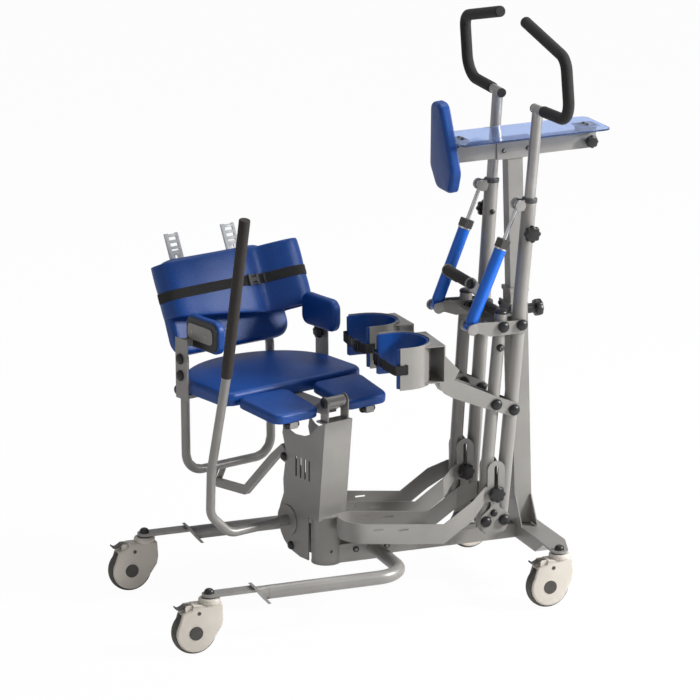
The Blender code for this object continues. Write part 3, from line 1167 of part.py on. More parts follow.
def seat(base):
    turning = joint_axis("seat_swivel", at(HUB_X, 0, HUB_TOP), Z_AXIS, base)
    seat_column(turning)
    pump_lever(turning)
    lifting = joint_axis("seat_lift", SEAT @ at(LIFT_PIVOT[0], 0, LIFT_PIVOT[1]), Y_AXIS, turning)
    seat_frame(lifting)
    cushions(lifting)
    seat_back(lifting, turning)


# Building

for item in list(bpy.data.objects):
    bpy.data.objects.remove(item)
root = attach(bpy.data.objects.new("standing_frame", None), IDENTITY, None)
rear_leg_frame(root)
hub_bracket(root)
front_frame(root)
mast_tube(root)
mast_head(root)
pivot_yoke(root)
grab_bar(root)
caster("rear_left", REAR_CASTER_X, CASTER_Y, REAR_TRAIL, TAB_BOTTOM, root)
caster("rear_right", REAR_CASTER_X, -CASTER_Y, REAR_TRAIL, TAB_BOTTOM, root)
caster("front_left", FRONT_CASTER_X, CASTER_Y, FRONT_TRAIL, CROSS_TOP, root)
caster("front_right", FRONT_CASTER_X, -CASTER_Y, FRONT_TRAIL, CROSS_TOP, root)
glider_side(1, root)
glider_side(-1, root)
seat(root)

# The origin goes to the middle of the footprint on the floor.
bpy.context.view_layer.update()
corners = []
for item in bpy.data.objects:
    if item.type == "MESH":
        corners += [placed[item.name] @ vertex.co for vertex in item.data.vertices]
low = [min(c[i] for c in corners) for i in range(3)]
high = [max(c[i] for c in corners) for i in range(3)]
root.location = (-(low[0] + high[0]) / 2, -(low[1] + high[1]) / 2, -low[2])
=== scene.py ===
"""Standing frame: finishes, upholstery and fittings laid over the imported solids."""
import json
import math

import bpy
import bmesh
from bpy.props import FloatProperty, FloatVectorProperty, IntProperty, PointerProperty
from mathutils import Matrix, Vector

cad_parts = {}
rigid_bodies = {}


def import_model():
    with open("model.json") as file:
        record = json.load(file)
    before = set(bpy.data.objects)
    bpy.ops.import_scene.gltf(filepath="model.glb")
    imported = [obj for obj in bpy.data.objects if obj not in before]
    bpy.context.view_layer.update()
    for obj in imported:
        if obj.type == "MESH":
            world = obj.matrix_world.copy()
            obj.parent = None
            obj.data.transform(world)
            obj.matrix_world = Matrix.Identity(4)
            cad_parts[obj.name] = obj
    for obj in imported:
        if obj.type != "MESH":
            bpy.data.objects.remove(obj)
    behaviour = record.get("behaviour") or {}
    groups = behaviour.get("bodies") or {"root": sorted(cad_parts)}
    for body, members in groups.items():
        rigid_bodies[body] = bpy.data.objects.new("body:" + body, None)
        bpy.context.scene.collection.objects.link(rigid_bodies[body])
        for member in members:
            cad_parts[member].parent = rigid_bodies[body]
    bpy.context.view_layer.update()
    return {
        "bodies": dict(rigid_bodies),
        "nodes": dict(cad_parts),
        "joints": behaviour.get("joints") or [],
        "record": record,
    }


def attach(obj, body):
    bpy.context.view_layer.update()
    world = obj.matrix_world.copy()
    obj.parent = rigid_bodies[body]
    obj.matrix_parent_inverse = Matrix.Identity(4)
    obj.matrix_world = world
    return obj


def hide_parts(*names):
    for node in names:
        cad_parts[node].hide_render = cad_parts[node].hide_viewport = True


bl_info = {
    "name": "Standing Frame",
    "version": (1, 0, 0),
    "blender": (4, 5, 0),
    "location": "3D View > Sidebar > Standing Frame",
    "description": "Dresses a standing frame with upholstery, grips, caps and finishes",
    "category": "Object",
}

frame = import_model()
JOINTS = {joint["name"]: joint for joint in frame["joints"]}
SWIVEL = JOINTS["seat_swivel"]["pos_m"]


def at(x, y, z):
    return Matrix.Translation((x, y, z))


def spin(axis, degrees):
    return Matrix.Rotation(math.radians(degrees), 4, axis)


# Frames of the solids, from the swivel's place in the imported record
PLAN = at(SWIVEL[0] + 0.061, SWIVEL[1], 0)
MAST = PLAN @ at(0.524, 0, 0.155) @ spin("Y", -1.575)
PAD = MAST @ at(-0.1816, 0, 0.988) @ spin("Y", -3.5)
SEAT = PLAN @ at(-0.061, 0, 0) @ spin("Z", -74.0)
BOARD = SEAT @ at(-0.452, 0, 0.630) @ spin("Y", -24.0)
SIDES = {1: "left", -1: "right"}
SEAT_STRAIGHT = -0.280
SEAT_REAR = -0.480
BACK_TUBE_RADIUS = 0.0128
LEVER_RADIUS = 0.0128
POST_FACE = 0.2425
POST_INNER = 0.2410
HIP_PLATE_FACE = 0.0022
SHOCK_LENGTH = 0.3634
BUCKLE_ACROSS = 0.066
WHEELS = {
    "rear_left": (-0.500, 0.281, 0.045),
    "rear_right": (-0.500, -0.281, 0.045),
    "front_left": (0.522, 0.281, 0.036),
    "front_right": (0.522, -0.281, 0.036),
}


def glider(side):
    return PLAN @ at(0.462, side * 0.1235, 0.777) @ spin("X", -side * 1.5)


def rear_tube(side):
    return glider(side) @ spin("Y", 4.5)


def front_tube(side):
    return glider(side) @ at(-0.055, 0, 0) @ spin("Y", 4.5)


def shock_line(side):
    return glider(side) @ at(-0.146, 0, 0) @ spin("Y", 22.54)


class FrameSizes(bpy.types.PropertyGroup):
    tube_sides: IntProperty(name="Tube Facets", description="Facets round a tube", default=40, min=12,
                            max=64)
    cap_radius: FloatProperty(name="Cap Radius", description="Radius of the dome caps over the pins",
                              default=0.0158, unit="LENGTH")
    cap_height: FloatProperty(name="Cap Height", description="Height of the dome caps", default=0.0130,
                              unit="LENGTH")
    cushion_edge: FloatProperty(name="Cushion Edge",
                                description="Radius of the foam along a cushion's edge",
                                default=0.014, unit="LENGTH")
    cushion_crown: FloatProperty(name="Cushion Crown", description="Rise of a cushion at its middle",
                                 default=0.004, unit="LENGTH")
    tread_depth: FloatProperty(name="Tread Depth", description="Thickness of the tyre band", default=0.010,
                               unit="LENGTH")


class FrameColours(bpy.types.PropertyGroup):
    paint: FloatVectorProperty(name="Frame Paint", description="Powder coat of the frame", subtype="COLOR",
                               default=(0.300, 0.288, 0.270))
    vinyl: FloatVectorProperty(name="Upholstery", description="Vinyl of the cushions", subtype="COLOR",
                               default=(0.002, 0.048, 0.235))
    cylinder: FloatVectorProperty(name="Cylinder Paint", description="Paint of the resistance cylinders",
                                  subtype="COLOR", default=(0.003, 0.130, 0.640))
    plastic: FloatVectorProperty(name="Caster Plastic", description="Plastic of the caster housings",
                                 subtype="COLOR", default=(0.640, 0.590, 0.520))
    tread: FloatVectorProperty(name="Tread", description="Rubber of the wheels", subtype="COLOR",
                               default=(0.070, 0.064, 0.058))
    tray: FloatVectorProperty(name="Tray", description="Tint of the clear tray", subtype="COLOR",
                              default=(0.460, 0.600, 0.960))


# Shader groups

def new_group(name, inputs, outputs):
    tree = bpy.data.node_groups.new(name, "ShaderNodeTree")
    for label, kind, value in inputs:
        socket = tree.interface.new_socket(label, in_out="INPUT", socket_type=kind)
        socket.default_value = value
    for label, kind in outputs:
        tree.interface.new_socket(label, in_out="OUTPUT", socket_type=kind)
    return tree, tree.nodes.new("NodeGroupInput"), tree.nodes.new("NodeGroupOutput")


def mottle_group():
    """Two colours mixed by soft noise, with finer noise for a worn look; on the vinyl, painted highlight
    speckle too.
    """
    tree, source, sink = new_group("Mottle", [
        ("Colour", "NodeSocketColor", (0.5, 0.5, 0.5, 1)),
        ("Second Colour", "NodeSocketColor", (0.4, 0.4, 0.4, 1)),
        ("Scale", "NodeSocketFloat", 12.0),
        ("Low", "NodeSocketFloat", 0.35),
        ("High", "NodeSocketFloat", 0.70),
    ], [("Colour", "NodeSocketColor"), ("Mask", "NodeSocketFloat")])
    place = tree.nodes.new("ShaderNodeTexCoord")
    noise = tree.nodes.new("ShaderNodeTexNoise")
    noise.inputs["Detail"].default_value = 6
    spread = tree.nodes.new("ShaderNodeMapRange")
    mix = tree.nodes.new("ShaderNodeMix")
    mix.data_type = "RGBA"
    tree.links.new(place.outputs["Object"], noise.inputs["Vector"])
    tree.links.new(source.outputs["Scale"], noise.inputs["Scale"])
    tree.links.new(noise.outputs["Fac"], spread.inputs["Value"])
    tree.links.new(source.outputs["Low"], spread.inputs["From Min"])
    tree.links.new(source.outputs["High"], spread.inputs["From Max"])
    tree.links.new(spread.outputs["Result"], mix.inputs["Factor"])
    tree.links.new(source.outputs["Colour"], mix.inputs[6])
    tree.links.new(source.outputs["Second Colour"], mix.inputs[7])
    tree.links.new(mix.outputs[2], sink.inputs["Colour"])
    tree.links.new(spread.outputs["Result"], sink.inputs["Mask"])
    return tree


def grain_group():
    """Small pebbles with fine noise between them, as on vinyl, foam or powder coat."""
    tree, source, sink = new_group("Grain", [
        ("Scale", "NodeSocketFloat", 400.0),
        ("Noise Scale", "NodeSocketFloat", 900.0),
        ("Noise Share", "NodeSocketFloat", 0.4),
    ], [("Height", "NodeSocketFloat")])
    place = tree.nodes.new("ShaderNodeTexCoord")
    cells = tree.nodes.new("ShaderNodeTexVoronoi")
    noise = tree.nodes.new("ShaderNodeTexNoise")
    noise.inputs["Detail"].default_value = 4
    mix = tree.nodes.new("ShaderNodeMix")
    tree.links.new(place.outputs["Object"], cells.inputs["Vector"])
    tree.links.new(place.outputs["Object"], noise.inputs["Vector"])
    tree.links.new(source.outputs["Scale"], cells.inputs["Scale"])
    tree.links.new(source.outputs["Noise Scale"], noise.inputs["Scale"])
    tree.links.new(source.outputs["Noise Share"], mix.inputs["Factor"])
    tree.links.new(cells.outputs["Distance"], mix.inputs[2])
    tree.links.new(noise.outputs["Fac"], mix.inputs[3])
    tree.links.new(mix.outputs[0], sink.inputs["Height"])
    return tree


def weave_group():
    """Crossed ribs, as on webbing."""
    tree, source, sink = new_group("Weave", [
        ("Scale", "NodeSocketFloat", 260.0),
    ], [("Height", "NodeSocketFloat")])
    place = tree.nodes.new("ShaderNodeTexCoord")
    ribs = []
    for direction in ("Z", "DIAGONAL"):
        wave = tree.nodes.new("ShaderNodeTexWave")
        wave.bands_direction = direction
        wave.inputs["Distortion"].default_value = 0.4
        tree.links.new(place.outputs["Object"], wave.inputs["Vector"])
        tree.links.new(source.outputs["Scale"], wave.inputs["Scale"])
        ribs.append(wave)
    mix = tree.nodes.new("ShaderNodeMath")
    mix.operation = "MULTIPLY"
    tree.links.new(ribs[0].outputs["Fac"], mix.inputs[0])
    tree.links.new(ribs[1].outputs["Fac"], mix.inputs[1])
    tree.links.new(mix.outputs[0], sink.inputs["Height"])
    return tree


GROUPS = {}
MATERIALS = {}


def group_node(tree, name, values):
    node = tree.nodes.new("ShaderNodeGroup")
    node.node_tree = GROUPS[name]
    for label, value in values.items():
        node.inputs[label].default_value = value
    return node


def finish(name, colour, second, mottle, roughness, metallic=0.0, bump=None, weave=None, **sockets):
    """One material: mottled colour, grain or weave for its bump, plain values on the shader."""
    material = bpy.data.materials.new(name)
    material.use_nodes = True
    tree = material.node_tree
    shader = tree.nodes["Principled BSDF"]
    shader.inputs["Roughness"].default_value = roughness
    shader.inputs["Metallic"].default_value = metallic
    for label, value in sockets.items():
        shader.inputs[label.replace("_", " ")].default_value = value
    scale, low, high = mottle
    tint = group_node(tree, "mottle",
                      {"Colour": (*colour, 1), "Second Colour": (*second, 1), "Scale": scale,
                                       "Low": low, "High": high})
    tree.links.new(tint.outputs["Colour"], shader.inputs["Base Color"])
    if bump or weave:
        relief = tree.nodes.new("ShaderNodeBump")
        if bump:
            cells, noise, share, strength, depth = bump
            height = group_node(tree, "grain", {"Scale": cells, "Noise Scale": noise, "Noise Share": share})
        else:
            scale, strength, depth = weave
            height = group_node(tree, "weave", {"Scale": scale})
        relief.inputs["Strength"].default_value = strength
        relief.inputs["Distance"].default_value = depth
        tree.links.new(height.outputs["Height"], relief.inputs["Height"])
        tree.links.new(relief.outputs["Normal"], shader.inputs["Normal"])
    MATERIALS[name] = material
    return material


def shade(colour, factor):
    return tuple(min(1.0, c * factor) for c in colour)


def make_finishes():
    colours = bpy.context.scene.frame_colours
    GROUPS.update(mottle=mottle_group(), grain=grain_group(), weave=weave_group())
    paint = tuple(colours.paint)
    vinyl = tuple(colours.vinyl)
    finish("powder_coat", paint, shade(paint, 0.86), (9, 0.35, 0.75), 0.40, 0.25,
           (900, 1600, 0.5, 0.10, 0.0004),
           Coat_Weight=0.15, Coat_Roughness=0.3)
    # Vinyl: the lighter second colour in fine speckles is the vinyl's speckled tone and also painted
    # highlight speckle.
    finish("vinyl", vinyl, shade(vinyl, 1.9), (520, 0.50, 0.70), 0.40, 0, (420, 900, 0.35, 0.55, 0.0010),
           Specular_IOR_Level=0.40)
    cylinder = tuple(colours.cylinder)
    finish("cylinder_paint", cylinder, shade(cylinder, 0.9), (10, 0.4, 0.7), 0.28, 0.1,
           (700, 1200, 0.5, 0.04, 0.0003))
    finish("black_plastic", (0.008, 0.008, 0.009), (0.014, 0.014, 0.015), (60, 0.4, 0.7), 0.38, 0,
           (800, 1500, 0.6, 0.12, 0.0004))
    finish("foam", (0.012, 0.011, 0.011), (0.022, 0.020, 0.019), (500, 0.4, 0.65), 0.85, 0,
           (900, 1400, 0.6, 0.6, 0.0010))
    finish("brown_foam", (0.024, 0.020, 0.018), (0.036, 0.031, 0.027), (500, 0.4, 0.65), 0.85, 0,
           (900, 1400, 0.6, 0.6, 0.0010))
    finish("webbing", (0.005, 0.005, 0.005), (0.010, 0.009, 0.009), (300, 0.4, 0.65), 0.75, 0,
           weave=(420, 0.6, 0.0012))
    plastic = tuple(colours.plastic)
    finish("caster_plastic", plastic, shade(plastic, 0.88), (14, 0.35, 0.75), 0.42, 0,
           (600, 1200, 0.6, 0.06, 0.0004))
    tread = tuple(colours.tread)
    finish("tread", tread, shade(tread, 1.5), (220, 0.4, 0.7), 0.68, 0, (700, 1200, 0.6, 0.30, 0.0006))
    finish("bright_steel", (0.62, 0.62, 0.63), (0.50, 0.50, 0.51), (20, 0.3, 0.7), 0.22, 1.0,
           (900, 1800, 0.7, 0.03, 0.0002))
    finish("satin_steel", (0.42, 0.41, 0.40), (0.34, 0.33, 0.32), (20, 0.3, 0.7), 0.38, 0.8,
           (900, 1800, 0.7, 0.05, 0.0002))
    finish("light_steel", (0.40, 0.41, 0.42), (0.34, 0.35, 0.36), (20, 0.3, 0.7), 0.45, 0.2,
           (900, 1800, 0.7, 0.03, 0.0002))
    finish("dark_steel", (0.110, 0.105, 0.100), (0.080, 0.077, 0.074), (20, 0.3, 0.7), 0.36, 0.7,
           (900, 1800, 0.7, 0.08, 0.0003))
    finish("hub_grey", (0.052, 0.048, 0.043), (0.066, 0.060, 0.054), (40, 0.4, 0.7), 0.55, 0,
           (800, 1500, 0.6, 0.10, 0.0004))
    finish("dark_collar", (0.050, 0.050, 0.052), (0.070, 0.070, 0.072), (60, 0.4, 0.7), 0.45, 0.1,
           (800, 1500, 0.6, 0.12, 0.0004))
    finish("beige_plastic", (0.50, 0.46, 0.40), (0.44, 0.41, 0.36), (30, 0.4, 0.7), 0.5, 0,
           (700, 1500, 0.6, 0.08, 0.0004))
    tray = tuple(colours.tray)
    finish("clear_tray", tray, shade(tray, 0.92), (6, 0.3, 0.7), 0.06, 0, None,
           Transmission_Weight=0.94, IOR=1.22)


# Outlines and meshes

def filleted(corners, sizes, steps=6, closed=True):
    """The corners as a line whose turns are rounded by the given lengths."""
    corners = [Vector(c) for c in corners]
    sizes = sizes if isinstance(sizes, (list, tuple)) else [sizes] * len(corners)
    line = []
    for i, corner in enumerate(corners):
        if sizes[i] == 0 or (not closed and i in (0, len(corners) - 1)):
            line.append(corner)
            continue
        before = (corners[i - 1] - corner).normalized()
        after = (corners[(i + 1) % len(corners)] - corner).normalized()
        half = before.angle(after) / 2
        reach = sizes[i] / math.tan(half)
        middle = corner + (before + after).normalized() * (sizes[i] / math.sin(half))
        start = corner + before * reach - middle
        end = corner + after * reach - middle
        swing = start.angle(end)
        for step in range(steps + 1):
            share = step / steps
            one = math.sin((1 - share) * swing) / math.sin(swing)
            two = math.sin(share * swing) / math.sin(swing)
            line.append(middle + start * one + end * two)
    return line


def even_steps(line, count, closed=True):
    """The line walked in equal steps."""
    points = list(line) + ([line[0]] if closed else [])
    lengths = [0.0]
    for a, b in zip(points, points[1:]):
        lengths.append(lengths[-1] + (b - a).length)
    steps = count if closed else count - 1
    walked, segment = [], 0
    for i in range(count):
        target = lengths[-1] * i / steps
        while segment < len(lengths) - 2 and lengths[segment + 1] < target:
            segment += 1
        span = lengths[segment + 1] - lengths[segment]
        share = (target - lengths[segment]) / span if span else 0.0
        walked.append(points[segment].lerp(points[segment + 1], share))
    return walked


def smooth_line(points, steps=8):
    """A soft curve through the points."""
    points = [Vector(p) for p in points]
    line = []
    for i in range(len(points) - 1):
        p0 = points[max(i - 1, 0)]
        p1, p2 = points[i], points[i + 1]
        p3 = points[min(i + 2, len(points) - 1)]
        for step in range(steps):
            t = step / steps
            line.append(0.5 * (2 * p1 + (p2 - p0) * t + (2 * p0 - 5 * p1 + 4 * p2 - p3) * t * t
                               + (3 * p1 - p0 - 3 * p2 + p3) * t ** 3))
    line.append(points[-1])
    return line


def add_mesh(name, verts, faces, material, smooth=True, angle=35.0):
    """A closed mesh whose faces are turned outwards, with its material."""
    mesh = bpy.data.meshes.new(name)
    mesh.from_pydata([tuple(v) for v in verts], [], faces)
    form = bmesh.new()
    form.from_mesh(mesh)
    bmesh.ops.remove_doubles(form, verts=form.verts, dist=0.00002)
    bmesh.ops.recalc_face_normals(form, faces=form.faces)
    limit = math.radians(angle)
    for face in form.faces:
        face.smooth = smooth
    for edge in form.edges:
        edge.smooth = len(edge.link_faces) == 2 and edge.calc_face_angle(0.0) < limit
    form.to_mesh(mesh)
    form.free()
    piece = bpy.data.objects.new(name, mesh)
    bpy.context.scene.collection.objects.link(piece)
    mesh.materials.append(MATERIALS[material])
    return piece


def carry(piece, body):
    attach(piece, body)
    return piece


def rows_mesh(rows, closed_ring=True):
    """Faces between rows of equal length, with a cap at each end."""
    count = len(rows[0])
    verts = [p for row in rows for p in row]
    faces = []
    for i in range(len(rows) - 1):
        for j in range(count if closed_ring else count - 1):
            k = (j + 1) % count
            faces.append((i * count + j, i * count + k, (i + 1) * count + k, (i + 1) * count + j))
    faces.append(tuple(range(count))[::-1])
    last = (len(rows) - 1) * count
    faces.append(tuple(range(last, last + count)))
    return verts, faces


def turned_rows(profile, frame_here, sides):
    """The profile turned round the frame's Z, as one row of points for each of its own."""
    rows = []
    for reach, height in profile:
        angles = (2 * math.pi * i / sides for i in range(sides))
        rows.append([frame_here @ Vector((reach * math.cos(a), reach * math.sin(a),
                                          height)) for a in angles])
    return rows


def lathe(profile, frame_here, sides=32):
    """A turned form along the frame's Z, closed at both ends."""
    return rows_mesh(turned_rows(profile, frame_here, sides))


def ring_form(profile, frame_here, sides):
    """A turned form with a hole through it, from a closed profile."""
    rows = turned_rows(profile, frame_here, sides)
    verts, faces = rows_mesh(rows + [rows[0]])
    return verts, [face for face in faces if len(face) == 4]


def facing(point, direction):
    """A frame at the point whose Z follows the direction."""
    turn = Vector((0, 0, 1)).rotation_difference(Vector(direction).normalized())
    return at(*point) @ turn.to_matrix().to_4x4()


def slab(outline, low, high, frame, edge=0.0006, plane="xy"):
    """A flat plate with eased edges."""
    outline = [Vector(p) for p in outline]
    count = len(outline)
    centre = sum(outline, Vector((0, 0))) / count
    rows = []
    for inset, height in ((edge, low), (0, low + edge), (0, high - edge), (edge, high)):
        row = []
        for p in outline:
            q = p + (centre - p).normalized() * inset
            spot = (q.x, q.y, height)
            if plane == "yz":
                spot = (height, q.x, q.y)
            elif plane == "xz":
                spot = (q.x, height, q.y)
            row.append(frame @ Vector(spot))
        rows.append(row)
    return rows_mesh(rows)


def joined(*meshes):
    """Several closed meshes as one list of points and faces."""
    verts, faces = [], []
    for points, polygons in meshes:
        base = len(verts)
        verts += list(points)
        faces += [tuple(base + i for i in face) for face in polygons]
    return verts, faces


# Geometry Nodes

def tree_input(tree, label, kind, value=None):
    socket = tree.interface.new_socket(label, in_out="INPUT", socket_type=kind)
    if value is not None:
        socket.default_value = value
    return socket


def start_tree(name):
    tree = bpy.data.node_groups.new(name, "GeometryNodeTree")
    tree.is_modifier = True
    tree_input(tree, "Geometry", "NodeSocketGeometry")
    tree.interface.new_socket("Geometry", in_out="OUTPUT", socket_type="NodeSocketGeometry")
    return tree, tree.nodes.new("NodeGroupInput"), tree.nodes.new("NodeGroupOutput")


def end_tree(tree, source, sink, geometry):
    """Edges sharper than the angle stay crisp, then instances become real and get the material."""
    soft = tree.nodes.new("GeometryNodeSetShadeSmooth")
    corner = tree.nodes.new("GeometryNodeInputMeshEdgeAngle")
    sharp = tree.nodes.new("FunctionNodeCompare")
    sharp.operation = "GREATER_THAN"
    crisp = tree.nodes.new("GeometryNodeSetShadeSmooth")
    crisp.domain = "EDGE"
    crisp.inputs["Shade Smooth"].default_value = False
    real = tree.nodes.new("GeometryNodeRealizeInstances")
    paint = tree.nodes.new("GeometryNodeSetMaterial")
    tree.links.new(geometry, real.inputs["Geometry"])
    tree.links.new(real.outputs["Geometry"], soft.inputs["Geometry"])
    tree.links.new(corner.outputs["Unsigned Angle"], sharp.inputs["A"])
    tree.links.new(source.outputs["Crisp Angle"], sharp.inputs["B"])
    tree.links.new(sharp.outputs["Result"], crisp.inputs["Selection"])
    tree.links.new(soft.outputs["Geometry"], crisp.inputs["Geometry"])
    tree.links.new(crisp.outputs["Geometry"], paint.inputs["Geometry"])
    tree.links.new(source.outputs["Material"], paint.inputs["Material"])
    tree.links.new(paint.outputs["Geometry"], sink.inputs["Geometry"])


def sweep_tree():
    """A round tube along the line, its radius scaled point by point."""
    tree, source, sink = start_tree("Tube Along Line")
    tree_input(tree, "Radius", "NodeSocketFloat", 0.012)
    tree_input(tree, "Facets", "NodeSocketInt", 32)
    tree_input(tree, "Crisp Angle", "NodeSocketFloat", 0.7)
    tree_input(tree, "Material", "NodeSocketMaterial")
    line = tree.nodes.new("GeometryNodeMeshToCurve")
    ring = tree.nodes.new("GeometryNodeCurvePrimitiveCircle")
    swell = tree.nodes.new("GeometryNodeInputNamedAttribute")
    swell.data_type = "FLOAT"
    swell.inputs["Name"].default_value = "swell"
    widen = tree.nodes.new("GeometryNodeSetCurveRadius")
    tube = tree.nodes.new("GeometryNodeCurveToMesh")
    tube.inputs["Fill Caps"].default_value = True
    tree.links.new(source.outputs["Geometry"], line.inputs["Mesh"])
    tree.links.new(source.outputs["Facets"], ring.inputs["Resolution"])
    tree.links.new(source.outputs["Radius"], ring.inputs["Radius"])
    tree.links.new(line.outputs["Curve"], widen.inputs["Curve"])
    tree.links.new(swell.outputs["Attribute"], widen.inputs["Radius"])
    tree.links.new(widen.outputs["Curve"], tube.inputs["Curve"])
    if "Scale" in tube.inputs:
        radius = tree.nodes.new("GeometryNodeInputRadius")
        tree.links.new(radius.outputs["Radius"], tube.inputs["Scale"])
    tree.links.new(ring.outputs["Curve"], tube.inputs["Profile Curve"])
    end_tree(tree, source, sink, tube.outputs["Mesh"])
    return tree


def scatter_tree():
    """One small form set on every point, turned to the point's own direction."""
    tree, source, sink = start_tree("Fittings On Points")
    tree_input(tree, "Fitting", "NodeSocketObject")
    tree_input(tree, "Crisp Angle", "NodeSocketFloat", 0.6)
    tree_input(tree, "Material", "NodeSocketMaterial")
    form = tree.nodes.new("GeometryNodeObjectInfo")
    form.inputs["As Instance"].default_value = True
    heading = tree.nodes.new("GeometryNodeInputNamedAttribute")
    heading.data_type = "FLOAT_VECTOR"
    heading.inputs["Name"].default_value = "heading"
    scale = tree.nodes.new("GeometryNodeInputNamedAttribute")
    scale.data_type = "FLOAT_VECTOR"
    scale.inputs["Name"].default_value = "reach"
    turn = tree.nodes.new("FunctionNodeAlignRotationToVector")
    turn.axis = "Z"
    setter = tree.nodes.new("GeometryNodeInstanceOnPoints")
    tree.links.new(source.outputs["Fitting"], form.inputs["Object"])
    tree.links.new(heading.outputs["Attribute"], turn.inputs["Vector"])
    tree.links.new(source.outputs["Geometry"], setter.inputs["Points"])
    tree.links.new(form.outputs["Geometry"], setter.inputs["Instance"])
    tree.links.new(turn.outputs["Rotation"], setter.inputs["Rotation"])
    tree.links.new(scale.outputs["Attribute"], setter.inputs["Scale"])
    end_tree(tree, source, sink, setter.outputs["Instances"])
    return tree


TREES = {}


def nodes_piece(name, mesh, tree, values, material, body):
    """Runs the tree on the mesh and keeps the result as a plain closed mesh."""
    carrier = bpy.data.objects.new(name + "_points", mesh)
    bpy.context.scene.collection.objects.link(carrier)
    modifier = carrier.modifiers.new("Nodes", "NODES")
    modifier.node_group = TREES[tree]
    values = dict(values, Material=MATERIALS[material])
    for item in TREES[tree].interface.items_tree:
        if item.in_out == "INPUT" and item.name in values:
            modifier[item.identifier] = values[item.name]
    graph = bpy.context.evaluated_depsgraph_get()
    graph.update()
    made = bpy.data.meshes.new_from_object(carrier.evaluated_get(graph), depsgraph=graph)
    made.name = name
    carrier.modifiers.remove(modifier)
    bpy.data.objects.remove(carrier)
    if not made.polygons:
        raise RuntimeError("the tree left nothing for " + name)
    piece = bpy.data.objects.new(name, made)
    bpy.context.scene.collection.objects.link(piece)
    return carry(piece, body)


def tube_piece(name, line, radius, material, body, swell=None, facets=None, crisp=0.7):
    """A tube along the line, as a piece of its own."""
    mesh = bpy.data.meshes.new(name + "_line")
    mesh.from_pydata([tuple(p) for p in line], [(i, i + 1) for i in range(len(line) - 1)], [])
    sizes = mesh.attributes.new("swell", "FLOAT", "POINT")
    for i in range(len(line)):
        sizes.data[i].value = swell[i] if swell else 1.0
    facets = facets or bpy.context.scene.frame_sizes.tube_sides
    values = {"Radius": radius, "Facets": facets, "Crisp Angle": crisp}
    return nodes_piece(name, mesh, "sweep", values, material, body)


def fitting_piece(name, places, form, material, body, crisp=0.6):
    """The form on each place, given as (point, direction, (width, height)), in one mesh."""
    mesh = bpy.data.meshes.new(name + "_points")
    mesh.from_pydata([tuple(place[0]) for place in places], [], [])
    heading = mesh.attributes.new("heading", "FLOAT_VECTOR", "POINT")
    reach = mesh.attributes.new("reach", "FLOAT_VECTOR", "POINT")
    for i, (_, direction, (width, height)) in enumerate(places):
        heading.data[i].vector = Vector(direction).normalized()
        reach.data[i].vector = (width, width, height)
    pattern = add_mesh(name + "_form", *form, material)
    values = {"Fitting": pattern, "Crisp Angle": crisp}
    piece = nodes_piece(name, mesh, "scatter", values, material, body)
    bpy.data.objects.remove(pattern)
    return piece


# Upholstery

def foam_rows(outline, thickness, edge, crown, pull, back=0.003, rings=7, sag=None):
    """Rows of a crowned form: flat back, eased sides that draw in between corners, rounded top edge."""
    middle = sum(outline, Vector((0, 0))) / len(outline)
    half_u = max(abs(p.x - middle.x) for p in outline)
    half_v = max(abs(p.y - middle.y) for p in outline)
    count = len(outline)
    drawn, inward = [], []
    for i, p in enumerate(outline):
        u, v = (p.x - middle.x) / half_u, (p.y - middle.y) / half_v
        shift_u = -pull * u ** 3 * (1 - v * v)
        shift_v = -pull * v ** 3 * (1 - u * u)
        drawn.append(p + Vector((shift_u, shift_v)))
    area = sum(a.x * b.y - b.x * a.y for a, b in zip(outline, outline[1:] + outline[:1]))
    turn = 1 if area > 0 else -1
    for i in range(count):
        along = (drawn[(i + 1) % count] - drawn[i - 1]).normalized()
        inward.append(Vector((-along.y, along.x)) * turn)
    rows = []
    for ring in range(rings):
        share = ring / rings
        rows.append([(middle.lerp(p + n * back, share), 0.0) for p, n in zip(drawn, inward)][:count])
    for step in range(4):
        angle = math.pi / 2 * step / 3
        inset, height = back * (1 - math.sin(angle)), back * (1 - math.cos(angle))
        rows.append([(p + n * inset, height) for p, n in zip(drawn, inward)])
    wall = thickness - back - edge
    for step in (1, 2):
        height = back + wall * step / 3
        rows.append([(p, height) for p in drawn])
    for step in range(7):
        angle = math.pi / 2 * step / 6
        inset, height = edge * (1 - math.cos(angle)), thickness - edge + edge * math.sin(angle)
        rows.append([(p + n * inset, height) for p, n in zip(drawn, inward)])
    for ring in range(1, rings + 1):
        share = 1 - ring / rings
        row = []
        for p, n in zip(drawn, inward):
            spot = middle.lerp(p + n * edge, share)
            rise = crown * (1 - share ** 2.4)
            row.append((spot, thickness + rise + (sag(spot) if sag else 0.0) * (1 - share ** 4)))
        rows.append(row)
    return rows[1:-1]


def foam_form(rows, place):
    """The rows as a mesh, with a fan at each end."""
    verts = [place(spot, height) for row in rows for spot, height in row]
    count = len(rows[0])
    faces = []
    for i in range(len(rows) - 1):
        for j in range(count):
            k = (j + 1) % count
            faces.append((i * count + j, i * count + k, (i + 1) * count + k, (i + 1) * count + j))
    for first in (0, len(rows) - 1):
        ring = verts[first * count:(first + 1) * count]
        verts.append(sum(ring, Vector((0, 0, 0))) / count)
        for j in range(count):
            faces.append((first * count + j, first * count + (j + 1) % count, len(verts) - 1))
    return verts, faces


